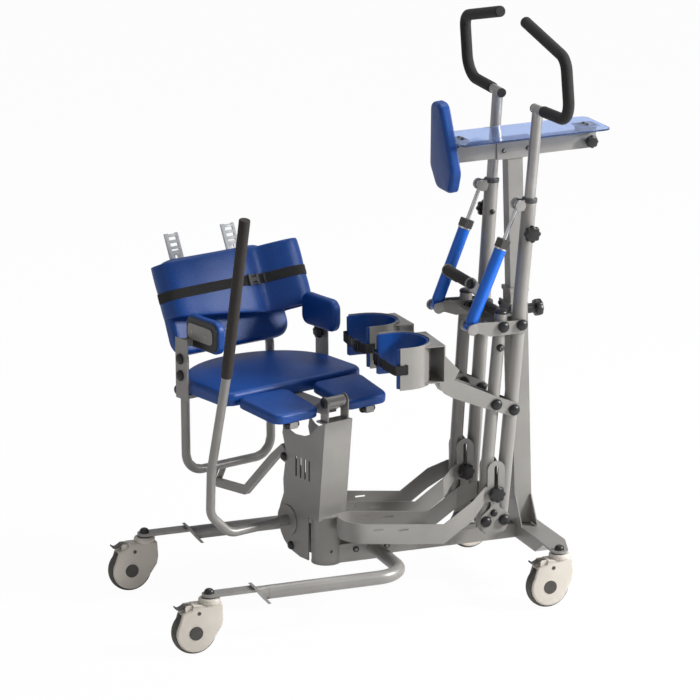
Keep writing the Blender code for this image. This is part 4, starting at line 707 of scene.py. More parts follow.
def foam_piece(name, outline, thickness, frame, body, node, plane="xy", edge=None, crown=None, pull=0.0015,
               points=120, sag=None, start=0.0, material="vinyl", back=0.003):
    """A padded piece of its own in the place of its solid."""
    sizes = bpy.context.scene.frame_sizes
    edge = sizes.cushion_edge if edge is None else edge
    crown = sizes.cushion_crown if crown is None else crown
    outline = even_steps([Vector(p) for p in outline], points)

    def place(spot, height):
        height += start
        if plane == "yz":
            return frame @ Vector((height, spot.x, spot.y))
        if plane == "xz":
            return frame @ Vector((spot.x, height, spot.y))
        return frame @ Vector((spot.x, spot.y, height))

    rows = foam_rows(outline, thickness, edge, crown, pull, back, sag=sag)
    piece = add_mesh(name, *foam_form(rows, place), material, angle=180)
    level = piece.modifiers.new("Subdivision", "SUBSURF")
    level.levels = 1
    level.render_levels = 1
    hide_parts(node)
    return carry(piece, body)


def make_seat():
    """The D-shaped seat, the two thigh flaps and the hip pads on their boards."""
    front, straight, rear, half = -0.135, SEAT_STRAIGHT, SEAT_REAR, 0.240
    depth = straight - rear
    outline = [(front, -half + 0.030), (front, half - 0.030), (front - 0.012, half - 0.008)]
    outline += [(front - 0.035, half), (straight, half)]
    for i in range(1, 36):
        angle = math.radians(90 - 5 * i)
        outline.append((straight - depth * math.cos(angle), half * math.sin(angle)))
    outline += [(straight, -half), (front - 0.035, -half), (front - 0.012, -half + 0.008)]
    base = SEAT @ at(0, 0, 0.566)

    def hollow(spot):
        return -0.0022 * math.exp(-((spot.x + 0.27) / 0.08) ** 2 - (spot.y / 0.14) ** 2)

    foam_piece("seat_pad", outline, 0.0375, base, "seat_lift_body", "seat_cushion", edge=0.013,
               crown=0.0035,
               points=160, sag=hollow)
    for side, tag in SIDES.items():
        length, width, inner = 0.171, 0.171, 0.042
        corners = [(0.002, 0), (length, 0), (length, width - 0.020), (0.002, width)]
        rounded = filleted(corners, [0.026, 0.030, 0.035, 0.026])
        outline = [(p.x, side * (inner + p.y)) for p in rounded]
        frame_here = SEAT @ at(-0.131, 0, 0.5685) @ spin("Y", 7.6)
        foam_piece("thigh_pad_" + tag, outline, 0.0280, frame_here, "seat_lift_body",
                   "thigh_cushion_" + tag,
                   edge=0.011, crown=0.0025)
        corners = [(-0.365, 0.690), (-0.205, 0.690), (-0.205, 0.785), (-0.365, 0.785)]
        rounded = [(side * p.x, p.y) for p in filleted(corners, 0.030)]
        place = SEAT @ at(0, side * 0.2130, 0) @ spin("Z", -90 * side)
        foam_piece("hip_cushion_" + tag, rounded, 0.0260, place, "seat_lift_body", "hip_pad_" + tag, "yz",
                   edge=0.010, crown=0.003, start=0.003, back=0.006)
        inner_board = filleted([(-0.358, 0.697), (-0.212, 0.697), (-0.212, 0.778), (-0.358, 0.778)], 0.024)
        board = slab([(side * p.x, p.y) for p in inner_board], 0.0004, 0.0050, place, plane="yz")
        piece = add_mesh("hip_board_" + tag, *board, "black_plastic")
        carry(piece, "seat_lift_body")
        corners = filleted([(-0.349, 0.7165), (-0.231, 0.7165), (-0.231, 0.762), (-0.349, 0.762)], 0.014)
        plate = slab([(side * p.x, p.y) for p in corners], -HIP_PLATE_FACE, 0.0006, place, plane="yz")
        carry(add_mesh("hip_plate_" + tag, *plate, "powder_coat"), "seat_lift_body")


def make_back():
    """The back cushion, and the wide waist pad that is strapped round it."""
    half, height = 0.197, 0.276
    corners = [(-half, 0), (half, 0), (half - 0.004, height), (-half + 0.004, height)]
    outline = filleted(corners, [0.045, 0.045, 0.060, 0.060])
    foam_piece("back_pad", outline, 0.0375, BOARD, "back_level_body", "backrest", "yz", edge=0.014,
               crown=0.0005,
               points=150)
    make_belt()
    parts = []
    axes = [(BOARD.to_3x3() @ Vector(v)).normalized() for v in ((0, 1, 0), (0, 0, 1), (1, 0, 0))]
    for side in (-1, 1):
        middle = side * 0.097
        for shift, width in ((-0.0170, 0.0126), (0.0185, 0.0096)):
            spot = BOARD @ Vector((-0.0047, middle + shift, 0.2560))
            parts.append(block(spot, *axes, (width, 0.1920, 0.0042), 0.0008))
        for k in range(11):
            spot = BOARD @ Vector((-0.0047, middle, 0.1664 + 0.0179 * k))
            parts.append(block(spot, *axes, (0.0300, 0.0086, 0.0040), 0.0008))
    carry(add_mesh("back_strips", *joined(*parts), "light_steel"), "back_level_body")


BELT_LINE = [(-0.2000, -0.026), (-0.2000, -0.004), (-0.184, 0.030), (-0.120, 0.044), (-0.050, 0.050),
             (0.050, 0.048), (0.112, 0.033), (0.162, 0.059), (0.208, 0.076), (0.240, 0.058), (0.232, 0.014),
             (0.2055, -0.008), (0.2025, -0.028)]


STRAP_LEVEL = 0.168


def belt_point(across, n, s):
    return BOARD @ Vector((0.040 + n, across, s))


def make_belt():
    """The waist pad as one soft band, with its strap and buckle round the middle."""
    line = smooth_line([(a, n, 0) for a, n in BELT_LINE], 10)
    line = even_steps(line, 110, closed=False)
    low, high, thick = 0.070, 0.262, 0.0082
    rows = []
    count = len(line)
    for i, point in enumerate(line):
        along = (line[min(i + 1, count - 1)] - line[max(i - 1, 0)]).normalized()
        out = Vector((along.y, -along.x, 0)) * -1
        end = min(i, count - 1 - i)
        taper = min(1.0, 0.35 + 0.65 * end / 5)
        row = []
        steps = 40
        for k in range(steps):
            angle = 2 * math.pi * k / steps
            c, s = math.cos(angle), math.sin(angle)
            flat = math.copysign(abs(c) ** 0.35, c) * thick * taper
            rise = math.copysign(abs(s) ** 0.55, s)
            bottom = low + 0.042 * max(0.0, 1 - i / (0.60 * count)) ** 1.2
            mid = (bottom + high) / 2
            reach = (high - bottom) / 2
            dent = -0.0012 * math.exp(-(rise / 0.12) ** 2) if c > 0 else 0.0
            spot = point + out * (flat + dent)
            row.append(belt_point(spot.x, spot.y, mid + reach * rise))
        rows.append(row)
    piece = add_mesh("waist_pad", *rows_mesh(rows), "vinyl", angle=60)
    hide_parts("belt")
    carry(piece, "back_level_body")
    strap_on_belt(line)


def band_rows(points, outs, ups, width, thick):
    """A flat strap whose edges are eased."""
    rows = []
    for p, out, up in zip(points, outs, ups):
        row = []
        for w, t in ((-0.5, 0.15), (-0.47, 0.5), (0.47, 0.5), (0.5, 0.15), (0.5, -0.15), (0.47, -0.5),
                     (-0.47, -0.5), (-0.5, -0.15)):
            row.append(p + up * (w * width) + out * (t * thick))
        rows.append(row)
    return rows


def strap_on_belt(line):
    """The black webbing over the waist pad and its side-release buckle."""
    points, outs, ups = [], [], []
    count = len(line)
    up = (BOARD.to_3x3() @ Vector((0, 0, 1))).normalized()
    for i in range(2, count - 2):
        point = line[i]
        along = (line[i + 1] - line[i - 1]).normalized()
        out = Vector((-along.y, along.x, 0))
        spot = belt_point(point.x + out.x * 0.0088, point.y + out.y * 0.0088, STRAP_LEVEL)
        away = belt_point(point.x + out.x * 0.0200, point.y + out.y * 0.0200, STRAP_LEVEL) - spot
        points.append(spot)
        outs.append(away.normalized())
        ups.append(up)
    piece = add_mesh("waist_strap", *rows_mesh(band_rows(points, outs, ups, 0.028, 0.0022)), "webbing")
    carry(piece, "back_level_body")
    i = next(k for k, p in enumerate(line) if p.x > BUCKLE_ACROSS) - 2
    side = (points[i + 1] - points[i - 1]).normalized()
    make_buckle("waist_buckle", points[i], side, ups[i], outs[i], 0.045, 0.032, "back_level_body")
    loops = []
    for k in (i - 9, i + 9):
        side = (points[k + 1] - points[k - 1]).normalized()
        spot = points[k] + outs[k] * 0.0010
        loops.append(block(spot, side, ups[k], outs[k], (0.007, 0.029, 0.0044), 0.0012))
    piece = add_mesh("waist_strap_loops", *joined(*loops), "black_plastic")
    carry(piece, "back_level_body")


def block(centre, x, y, z, size, ease):
    """A small block with all its edges eased."""
    form = bmesh.new()
    bmesh.ops.create_cube(form, size=1.0)
    for v in form.verts:
        v.co = Vector((v.co.x * size[0], v.co.y * size[1], v.co.z * size[2]))
    bmesh.ops.bevel(form, geom=form.edges[:], offset=ease, segments=2, affect="EDGES", profile=0.6)
    verts = [centre + x * v.co.x + y * v.co.y + z * v.co.z for v in form.verts]
    faces = [tuple(v.index for v in f.verts) for f in form.faces]
    form.free()
    return verts, faces


def make_buckle(name, centre, x, y, z, length, width, body):
    """A side-release buckle: two bars, a tongue and two prongs."""
    parts = []
    bar, tongue = (0.28, 1.0, 0.0060), (0.62, 0.42, 0.0050)
    for shift, size in ((-0.36, bar), (0.36, bar), (0.0, tongue)):
        parts.append(block(centre + x * (shift * length) + z * 0.0022, x, y, z,
                           (size[0] * length, size[1] * width, size[2]), 0.0012))
    for turn in (-1, 1):
        parts.append(block(centre + y * (turn * 0.38 * width) + z * 0.0020, x, y, z,
                           (0.55 * length, 0.13 * width, 0.0042), 0.0009))
    piece = add_mesh(name, *joined(*parts), "dark_collar")
    return carry(piece, body)


# Caps, bolts and knobs

# Facets round a wheel
WHEEL_SIDES = 72
# Profiles of a cap and of a socket screw, as shares of their radius and height
DOME = [(0.92, -0.04), (1.0, 0.0), (1.0, 0.22), (0.965, 0.42), (0.87, 0.63), (0.71, 0.80), (0.50, 0.92),
        (0.26, 0.985), (0.06, 1.0)]
BOLT = [(0.90, -0.05), (1.0, 0.0), (1.0, 0.55), (0.93, 0.82), (0.78, 0.96), (0.52, 1.0), (0.46, 0.62),
        (0.10, 0.58)]


def dome_cap(width=None, height=None):
    sizes = bpy.context.scene.frame_sizes
    return (width or sizes.cap_radius, height or sizes.cap_height)


def moved(frame_here, point, direction, size):
    """A place for a fitting, moved into the row frame."""
    point = frame_here @ Vector(point)
    direction = frame_here.to_3x3() @ Vector(direction)
    return point, direction, size


def cap_places():
    """Every dome cap, by the body that carries it."""
    places = {name: [] for name in ("base", "seat_swivel_body", "seat_lift_body", "back_level_body")}
    base, lift = places["base"], places["seat_lift_body"]
    for side in (-1, 1):
        for x, top in ((-0.500, 0.164), (0.522, 0.161)):
            base.append(moved(PLAN, (x, side * 0.281, top), (0, 0, 1), dome_cap(0.0137, 0.0136)))
        slope = PLAN @ at(0.440, 0, 0.790) @ spin("Y", -46.1)
        base.append(moved(slope, (0, side * 0.0843, 0.143), (0, side, 0), dome_cap(0.0139, 0.0078)))
        lift.append(moved(SEAT, (0.045, side * 0.0366, 0.585), (0, side, 0), dome_cap(0.0150, 0.0066)))
        for face in (-1, 1):
            spot = (0.020, side * 0.130 + face * 0.0125, 0.536)
            lift.append(moved(SEAT, spot, (0, face, 0), dome_cap(0.0106, 0.0126)))
        for z in (0.613, 0.661):
            lift.append(moved(SEAT, (-0.346, side * POST_FACE, z), (0, side, 0), dome_cap(0.0155, 0.0116)))
        spot = (-0.465, side * 0.1695, 0.532)
        places["back_level_body"].append(moved(SEAT, spot, (0, side, 0), dome_cap(0.0150, 0.0112)))
    for f, z in ((-0.130, 0.394), (-0.100, 0.142)):
        spot = (f, -0.0460, z)
        places["seat_swivel_body"].append(moved(SEAT, spot, (0, -1, 0), dome_cap(0.0121, 0.0106)))
    for side, tag in SIDES.items():
        rear, front = rear_tube(side), front_tube(side)
        glide, swing, foot = [], [], []
        for face in (-1, 1):
            for z in (0, -0.243, -0.562):
                glide.append(moved(rear, (0, face * 0.0262, z), (0, face, 0), dome_cap()))
            for z in (0, -0.222, -0.562):
                swing.append(moved(front, (0, face * 0.0262, z), (0, face, 0), dome_cap()))
        swing.append(moved(front, (0, 0, 0.0328), (0, 0, 1), dome_cap(0.0196, 0.0122)))
        swing.append(moved(front, (0, -0.0145, -0.062), (0, -1, 0), dome_cap(0.0112, 0.0130)))
        glide.append(moved(rear, (0, -side * 0.0190, 0.260), (0, -side, 0), dome_cap(0.0076, 0.0056)))
        foot.append(moved(glider(side), (-0.071, 0.0312, -0.479), (0, 1, 0), dome_cap(0.0116, 0.0096)))
        places["glide_%s_body" % tag] = glide
        places["front_swing_%s_body" % tag] = swing
        foot.append(moved(glider(side), (-0.0745, -0.0240, -0.5375), (0, -1, 0), dome_cap(0.0104, 0.0100)))
        places["foot_level_%s_body" % tag] = foot
    return places


def make_caps():
    form = lathe(DOME, Matrix.Identity(4), 24)
    for body, places in cap_places().items():
        name = "caps_" + body.replace("_body", "")
        fitting_piece(name, places, form, "black_plastic", body, 1.2)


def make_bolts():
    """Socket screws on the mast bracket, the arm sleeve, the channel and the tray."""
    form = lathe(BOLT, Matrix.Identity(4), 18)
    spots = []
    for y in (-0.036, 0.036):
        for z in (0.587, 0.640):
            spots.append(moved(MAST, (-0.0305, y, z), (-1, 0, 0), (0.0064, 0.0054)))
    for x in (0.016, 0.108):
        for side in (-1, 1):
            spots.append(moved(PLAN, (x, side * 0.0298, 0.147), (0, side, 0), (0.0086, 0.0064)))
    fitting_piece("frame_bolts", spots, form, "dark_collar", "base")
    spots = [moved(MAST, (x, -0.0258, 1.087), (0, -1, 0), (0.0064, 0.0042)) for x in (-0.036, 0.036)]
    fitting_piece("sleeve_screws", spots, form, "dark_collar", "mast_height_body")
    spots = []
    for x in (-0.153, 0.2205):
        for y in (-0.012, 0.012):
            spots.append(moved(MAST, (x, y, 1.1303), (0, 0, 1), (0.0046, 0.0030)))
            spots.append(moved(MAST, (x, y, 1.1257), (0, 0, -1), (0.0040, 0.0030)))
    fitting_piece("tray_screws", spots, form, "dark_collar", "tray_slide_body")
    for side, tag in SIDES.items():
        place = SEAT @ at(0, side * 0.2130, 0) @ spin("Z", -90 * side)
        spots = [moved(place, (-HIP_PLATE_FACE, side * f, z), (-1, 0, 0), (0.0052, 0.0024))
                 for f, z in ((-0.326, 0.740), (-0.262, 0.737))]
        fitting_piece("hip_screws_" + tag, spots, form, "satin_steel", "seat_lift_body")


def knob_form(frame_here, neck, radius, valley, head, lobes=8):
    """A lobed clamping knob on a round neck."""
    stalk = radius * 0.58
    profile = [(stalk, -0.0004), (stalk, neck - 0.001), (radius * 0.72, neck),
               (radius * 0.95, neck + 0.0006),
               (radius, neck + 0.0030), (radius, neck + head - 0.0040),
               (radius * 0.95, neck + head - 0.0014),
               (radius * 0.86, neck + head - 0.0002), (radius * 0.70, neck + head + 0.0004),
               (radius * 0.30, neck + head + 0.0008), (radius * 0.03, neck + head + 0.0009)]
    rows = []
    sides = lobes * 8
    for reach, height in profile:
        row = []
        for i in range(sides):
            angle = 2 * math.pi * i / sides
            wave = 0.5 - 0.5 * math.cos(lobes * angle)
            depth = (1 - valley / radius) * wave ** 1.3 if reach > radius * 0.8 else 0.0
            row.append(frame_here @ Vector((reach * (1 - depth) * math.cos(angle),
                                            reach * (1 - depth) * math.sin(angle), height)))
        rows.append(row)
    return rows_mesh(rows)


def place_knobs():
    """Every clamping knob: body, frame, point, direction, neck, radius, valley radius, head."""
    knobs = [
        ("base", MAST, (0.0250, 0, 0.623), (1, 0, 0), 0.032, 0.0242, 0.0223, 0.0205),
        ("tray_reach_body", MAST, (0.222, -0.0222, 1.087), (0, -1, 0), 0.012, 0.0182, 0.0163, 0.0125),
    ]
    for side, tag in SIDES.items():
        knobs.append(("glide_%s_body" % tag, rear_tube(side), (0, side * 0.0185, 0.260), (0, side, 0),
                      0.012, 0.0242, 0.0205, 0.0160))
        knobs.append(("foot_level_%s_body" % tag, glider(side), (-0.071, -0.0312, -0.479), (0, -1, 0),
                      0.001, 0.0242, 0.0206, 0.0138))
        knobs.append(("seat_lift_body", SEAT, (-0.346, side * POST_INNER, 0.661), (0, -side, 0), 0.004,
                      0.0187, 0.0163, 0.0126))
    return knobs


def make_knobs():
    by_body = {}
    for body, frame_here, point, direction, neck, radius, valley, head in place_knobs():
        spot = facing(frame_here @ Vector(point), frame_here.to_3x3() @ Vector(direction))
        by_body.setdefault(body, []).append(knob_form(spot, neck, radius, valley, head))
    for body, forms in by_body.items():
        piece = add_mesh("knobs_" + body.replace("_body", ""), *joined(*forms), "black_plastic", angle=40)
        carry(piece, body)


# Tubes, grips and cylinders

def straight(frame_here, start, end, ends=0.0):
    """A line with close points at its ends, in the row frame."""
    start, end = Vector(start), Vector(end)
    if not ends:
        return [frame_here @ start, frame_here @ end]
    along = (end - start).normalized()
    line = []
    for k in range(6):
        angle = math.pi / 2 * k / 5
        line.append(start + along * (ends * (1 - math.cos(angle))))
    for k in range(6):
        angle = math.pi / 2 * k / 5
        line.append(end - along * (ends * (1 - math.sin(angle))))
    return [frame_here @ p for p in line]


def rounded_ends(line, radius, ease):
    """Extra points and their swell, so that the ends of a foam grip are rounded."""
    first = (line[1] - line[0]).normalized()
    last = (line[-1] - line[-2]).normalized()
    steps = 5
    head, tail, swell_head, swell_tail = [], [], [], []
    for k in range(steps):
        angle = math.pi / 2 * k / steps
        head.append(line[0] + first * (ease * (1 - math.cos(angle))))
        swell_head.append((radius - ease * (1 - math.sin(angle))) / radius)
        tail.append(line[-1] - last * (ease * (1 - math.cos(angle))))
        swell_tail.append((radius - ease * (1 - math.sin(angle))) / radius)
    middle = line[1:-1]
    points = head + [line[0] + first * ease] + middle + [line[-1] - last * ease] + tail[::-1]
    swell = swell_head + [1.0] * (len(middle) + 2) + swell_tail[::-1]
    return points, swell


def make_grips():
    """Foam grips on the two handles, the grab bar and the pump lever."""
    for side, tag in SIDES.items():
        slope = 0.014 / 0.2355
        path = [(0.001, 0.0360, 0.597 + slope * 0.059), (-0.001, 0.2125, 0.611)]
        path += [(-0.0265, 0.206, 0.780), (-0.034, -0.060, 0.8285)]
        path = [Vector((x, side * y, z)) for x, y, z in path]
        line = filleted(path, [0, 0.060, 0.040, 0], 12, False)
        line = [rear_tube(side) @ p for p in even_steps(line, 70, closed=False)]
        points, swell = rounded_ends(line, 0.0158, 0.004)
        piece = tube_piece("grip_" + tag, points, 0.0158, "foam", "handle_height_%s_body" % tag,
                           swell)
        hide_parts("handle_grip_" + tag)
        core = straight(rear_tube(side), (0.001, -side * 0.0240, 0.5966), (0.001, side * 0.0362, 0.6001))
        tube_piece("handle_socket_" + tag, core, 0.0129, "satin_steel", "handle_height_%s_body" % tag)
        stem = straight(rear_tube(side), (0, 0, 0.340), (0, 0, 0.5985))
        tube_piece("stem_" + tag, stem, 0.0153, "satin_steel", "handle_height_%s_body" % tag)
        cap = lathe([(0.0128, 0.0), (0.0133, 0.0008), (0.0133, 0.0030), (0.0122, 0.0040), (0.001, 0.0044)],
                    facing(rear_tube(side) @ Vector((0.001, -side * 0.0238, 0.5966)),
                           rear_tube(side).to_3x3() @ Vector((0, -side, -0.06))), 28)
        carry(add_mesh("stem_plug_" + tag, *cap, "black_plastic"), "handle_height_%s_body" % tag)
    slope = PLAN @ at(0.440, 0, 0.790) @ spin("Y", -46.1)
    line = [slope @ Vector((0, y, 0.143)) for y in (-0.0808, -0.040, 0.0, 0.040, 0.0808)]
    points, swell = rounded_ends(line, 0.0157, 0.003)
    piece = tube_piece("grab_foam", points, 0.0157, "brown_foam", "base", swell)
    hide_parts("grab_grip")
    lever = [(-0.115, -0.0508, 0.213), (-0.115, -0.245, 0.213), (-0.125, -0.302, 0.272),
             (-0.118, -0.302, 0.400),
             (-0.039, -0.302, 0.686), (0.056, -0.302, 1.140)]
    line = [Vector(p) for p in lever]
    joint, top = line[4], line[5]
    line = filleted(line[:5] + [joint.lerp(top, 0.02)], [0, 0.050, 0.050, 0.150, 0, 0], 10, False)
    tube_piece("lever_tube", [SEAT @ p for p in line], LEVER_RADIUS, "powder_coat", "pump_body")
    grip = [SEAT @ joint.lerp(top, k / 8) for k in range(9)]
    grip[-1] = grip[-1] + (grip[-1] - grip[-2]).normalized() * 0.0022
    points, swell = rounded_ends(grip, 0.0156, 0.0028)
    tube_piece("lever_grip", points, 0.0156, "brown_foam", "pump_body", swell)


def make_tubes():
    """Smooth skins over the round tubes of the frame."""
    for side, tag in SIDES.items():
        rear, front = rear_tube(side), front_tube(side)
        ends = 0.003
        line = straight(rear, (0, 0, -0.5848), (0, 0, 0.3415), ends)
        swell = end_swell(0.0198, ends)
        tube_piece("glide_tube_" + tag, line, 0.0198, "powder_coat", "glide_%s_body" % tag,
                   swell)
        line = straight(front, (0, 0, -0.5848), (0, 0, 0.0365), ends)
        swell = end_swell(0.0178, ends)
        tube_piece("swing_tube_" + tag, line, 0.0178, "powder_coat", "front_swing_%s_body" % tag,
                   swell)
        collar = [(0.0160, 0.3405), (0.0203, 0.3408), (0.0212, 0.3420), (0.0212, 0.3520), (0.0202, 0.3535),
                  (0.0158, 0.3540),
                  (0.0157, 0.3500)]
        piece = add_mesh("tube_collar_" + tag, *ring_form(collar, rear, 40), "dark_collar", angle=50)
        carry(piece, "glide_%s_body" % tag)
    z = 0.146
    start = -0.387
    path = [Vector((start, -0.281, z)), Vector((0.070, -0.281, z)), Vector((0.070, 0.281, z)),
            Vector((start, 0.281, z))]
    line = filleted(path, 0.085, 14, False)
    line[0] = Vector((-0.335, -0.281, z))
    line[-1] = Vector((-0.335, 0.281, z))
    tube_piece("rear_tube", [PLAN @ p for p in line], 0.0192, "powder_coat", "base")
    lean = math.radians(24.0)
    top = (-0.465 - 0.226 * math.sin(lean), 0.62 + 0.226 * math.cos(lean))
    leg = 0.148
    path = [(top[0], -leg, top[1]), (-0.465, -leg, 0.62), (-0.465, -leg, 0.285), (-0.465, leg, 0.285),
            (-0.465, leg, 0.62),
            (top[0], leg, top[1])]
    line = filleted([Vector(p) for p in path], [0, 0.05, 0.055, 0.055, 0.05, 0], 10, False)
    tube_piece("back_tube", [SEAT @ p for p in line], BACK_TUBE_RADIUS, "powder_coat", "back_level_body")


def end_swell(radius, ends):
    swell = [(radius - ends * (1 - math.sin(math.pi / 2 * k / 5))) / radius for k in range(6)]
    return swell + swell[::-1]


def make_cylinders():
    """The blue resistance cylinders, their glands, eyes and rods."""
    for side, tag in SIDES.items():
        frame_here = shock_line(side)
        body = "shock_swing_%s_body" % tag
        profile = [(0.0100, 0.0058), (0.0140, 0.0105), (0.0165, 0.0165), (0.0171, 0.0225), (0.0171, 0.2315),
                   (0.0165, 0.2325)]
        carry(add_mesh("cylinder_" + tag, *lathe(profile, frame_here, 40), "cylinder_paint", angle=30),
              body)
        ring = [(0.0168, 0.2318), (0.0182, 0.2322), (0.0182, 0.2378), (0.0174, 0.2386)]
        carry(add_mesh("cylinder_ring_" + tag, *lathe(ring, frame_here, 40), "bright_steel", angle=30),
              body)
        nut = [(0.0190, 0.2366), (0.0224, 0.2376), (0.0224, 0.2592), (0.0208, 0.2606), (0.0075, 0.2608),
               (0.0072, 0.2590)]
        piece = add_mesh("gland_" + tag, *gland_form(nut, frame_here), "dark_steel", angle=25)
        carry(piece, body)
        eyes = []
        for face in (-1, 1):
            spot = facing(frame_here @ Vector((0, face * 0.0254, 0)),
                          frame_here.to_3x3() @ Vector((0, face, 0)))
            eyes.append(lathe([(0.0148, 0.0), (0.0155, 0.0005), (0.0155, 0.0036), (0.0146, 0.0045),
                               (0.0060, 0.0048),
                               (0.0010, 0.0049)], spot, 36))
        carry(add_mesh("cylinder_bolt_" + tag, *joined(*eyes), "satin_steel", angle=40), body)
        body = "rod_swing_%s_body" % tag
        length = SHOCK_LENGTH
        rod_line = [frame_here @ Vector((0, 0, z)) for z in (0.2500, length - 0.006)]
        tube_piece("rod_" + tag, rod_line, 0.0057, "bright_steel", body, facets=24)
        eyes = []
        for face in (-1, 1):
            spot = facing(frame_here @ Vector((0, face * 0.0120, length)),
                          frame_here.to_3x3() @ Vector((0, face, 0)))
            eyes.append(lathe([(0.0150, 0.0), (0.0157, 0.0005), (0.0157, 0.0062), (0.0148, 0.0073),
                               (0.0066, 0.0076),
                               (0.0010, 0.0077)], spot, 36))
        carry(add_mesh("rod_bolt_" + tag, *joined(*eyes), "satin_steel", angle=40), body)


def gland_form(profile, frame_here):
    """A six-sided nut with its corners turned down at both ends."""
    rows = []
    for reach, height in profile:
        row = []
        for i in range(48):
            angle = 2 * math.pi * i / 48
            flat = math.cos(math.pi / 6) / math.cos(angle % (math.pi / 3) - math.pi / 6)
            limit = 0.0223 * flat if reach > 0.010 else reach
            row.append(frame_here @ Vector((min(reach, limit) * math.cos(angle),
                                            min(reach, limit) * math.sin(angle), height)))
        rows.append(row)
    return rows_mesh(rows)


# Casters

def cowl_outline(trail):
    """The side view of the caster's housing, from its photographed shape."""
    hub = Vector((-trail, 0.0625))
    line = []
    for k in range(30):
        angle = math.radians(150 + 175 * k / 29)
        line.append(hub + Vector((math.cos(angle), math.sin(angle))) * 0.0540)
    line += [Vector((0.030, 0.076)), Vector((0.0338, 0.098)), Vector((0.0315, 0.1375))]
    line += [Vector((0.029, 0.1400)), Vector((-trail - 0.006, 0.1400)), Vector((-trail - 0.0105, 0.1285))]
    line += [Vector((-trail - 0.034, 0.1205)), Vector((-trail - 0.037, 0.118))]
    return line


def cut_from(piece, other):
    """Takes one closed form out of another and keeps the result."""
    change = piece.modifiers.new("Cut", "BOOLEAN")
    change.operation = "DIFFERENCE"
    change.solver = "EXACT"
    change.object = other
    graph = bpy.context.evaluated_depsgraph_get()
    graph.update()
    made = bpy.data.meshes.new_from_object(piece.evaluated_get(graph), depsgraph=graph)
    piece.modifiers.remove(change)
    old = piece.data
    piece.data = made
    bpy.data.meshes.remove(old)
    bpy.data.objects.remove(other)
    for polygon in made.polygons:
        polygon.use_smooth = True
    made.set_sharp_from_angle(angle=math.radians(34))
    return piece


def housing_rows(outline, half, frame_here):
    """The housing's rounded slab, fuller in the middle and eased at both cheeks."""
    count = len(outline)
    middle = sum(outline, Vector((0, 0))) / count
    rows = []
    for inset, across in ((0.0060, -half), (0.0030, -half + 0.0006), (0.0010, -half + 0.0020),
                          (0, -half + 0.0045),
                          (0, half - 0.0045), (0.0010, half - 0.0020), (0.0030, half - 0.0006),
                          (0.0060, half)):
        rows.append([frame_here @ Vector((*(p + (middle - p).normalized() * inset),
                                          across)) for p in outline])
    return rows


def make_caster(name):
    x, y, trail = WHEELS[name]
    seat_z = 0.156 if name.startswith("rear") else 0.155
    stem = PLAN @ at(x, y, 0)
    side_on = stem @ spin("X", 90)
    half = 0.023
    fork = name + "_swivel_body"
    shell = add_mesh(name + "_housing", *rows_mesh(housing_rows(cowl_outline(trail), half, side_on)),
                     "caster_plastic")
    hub = side_on @ at(-trail, 0.0625, 0)
    slot = add_mesh(name + "_slot", *lathe([(0.0655, -0.0166), (0.0655, 0.0166)], hub, 48),
                    "caster_plastic")
    cut_from(shell, slot)
    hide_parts(name + "_fork")
    carry(shell, fork)
    neck_top = seat_z - 0.0003
    neck = [(0.0270, 0.1385), (0.0292, 0.1400), (0.0296, 0.1420), (0.0296, neck_top - 0.0070),
            (0.0284, neck_top - 0.0045),
            (0.0262, neck_top - 0.0030), (0.0010, neck_top - 0.0030)]
    carry(add_mesh(name + "_neck", *lathe(neck, stem, 44), "caster_plastic", angle=40), fork)
    race = [(0.0205, neck_top - 0.0034), (0.0205, neck_top), (0.0010, neck_top)]
    carry(add_mesh(name + "_race", *lathe(race, stem, 36), "dark_collar", angle=40), fork)
    discs, bolts = [], []
    for face in (-1, 1):
        spot = facing(stem @ Vector((-trail, face * (half - 0.0008), 0.0625)), (0, face, 0))
        discs.append(lathe([(0.0192, 0.0), (0.0192, 0.0012), (0.0184, 0.0022), (0.0120, 0.0026),
                            (0.001, 0.0026)], spot, 40))
        spot = facing(stem @ Vector((-trail + 0.0095, face * (half - 0.0008), 0.1175)), (0, face, 0))
        bolts.append(lathe([(0.0054, 0.0), (0.0054, 0.0014), (0.0046, 0.0021), (0.0024, 0.0021),
                            (0.0020, 0.0012),
                            (0.0005, 0.0011)], spot, 20))
    carry(add_mesh(name + "_discs", *joined(*discs), "hub_grey", angle=40), fork)
    carry(add_mesh(name + "_bolts", *joined(*bolts), "dark_steel", angle=40), fork)
    pin = [side_on @ Vector((-trail, 0.0625, z)) for z in (-0.0185, 0.0185)]
    tube_piece(name + "_axle", pin, 0.0050, "bright_steel", fork, facets=20)
    plates = []
    hinge = Vector((-trail - 0.020, 0.1355))
    ear = [hinge + Vector(p) for p in ((-0.007, -0.014), (-0.007, 0.002), (-0.004, 0.0045), (0.010, 0.0045),
                                       (0.012, -0.014))]
    for face in (-1, 1):
        low, high = sorted((face * 0.0126, face * 0.0164))
        plates.append(slab(ear, low, high, side_on, 0.0004))
    carry(add_mesh(name + "_ears", *joined(*plates), "caster_plastic", angle=30), fork)
    make_wheel(name, stem, trail)
    make_pedal(name, stem, hinge)


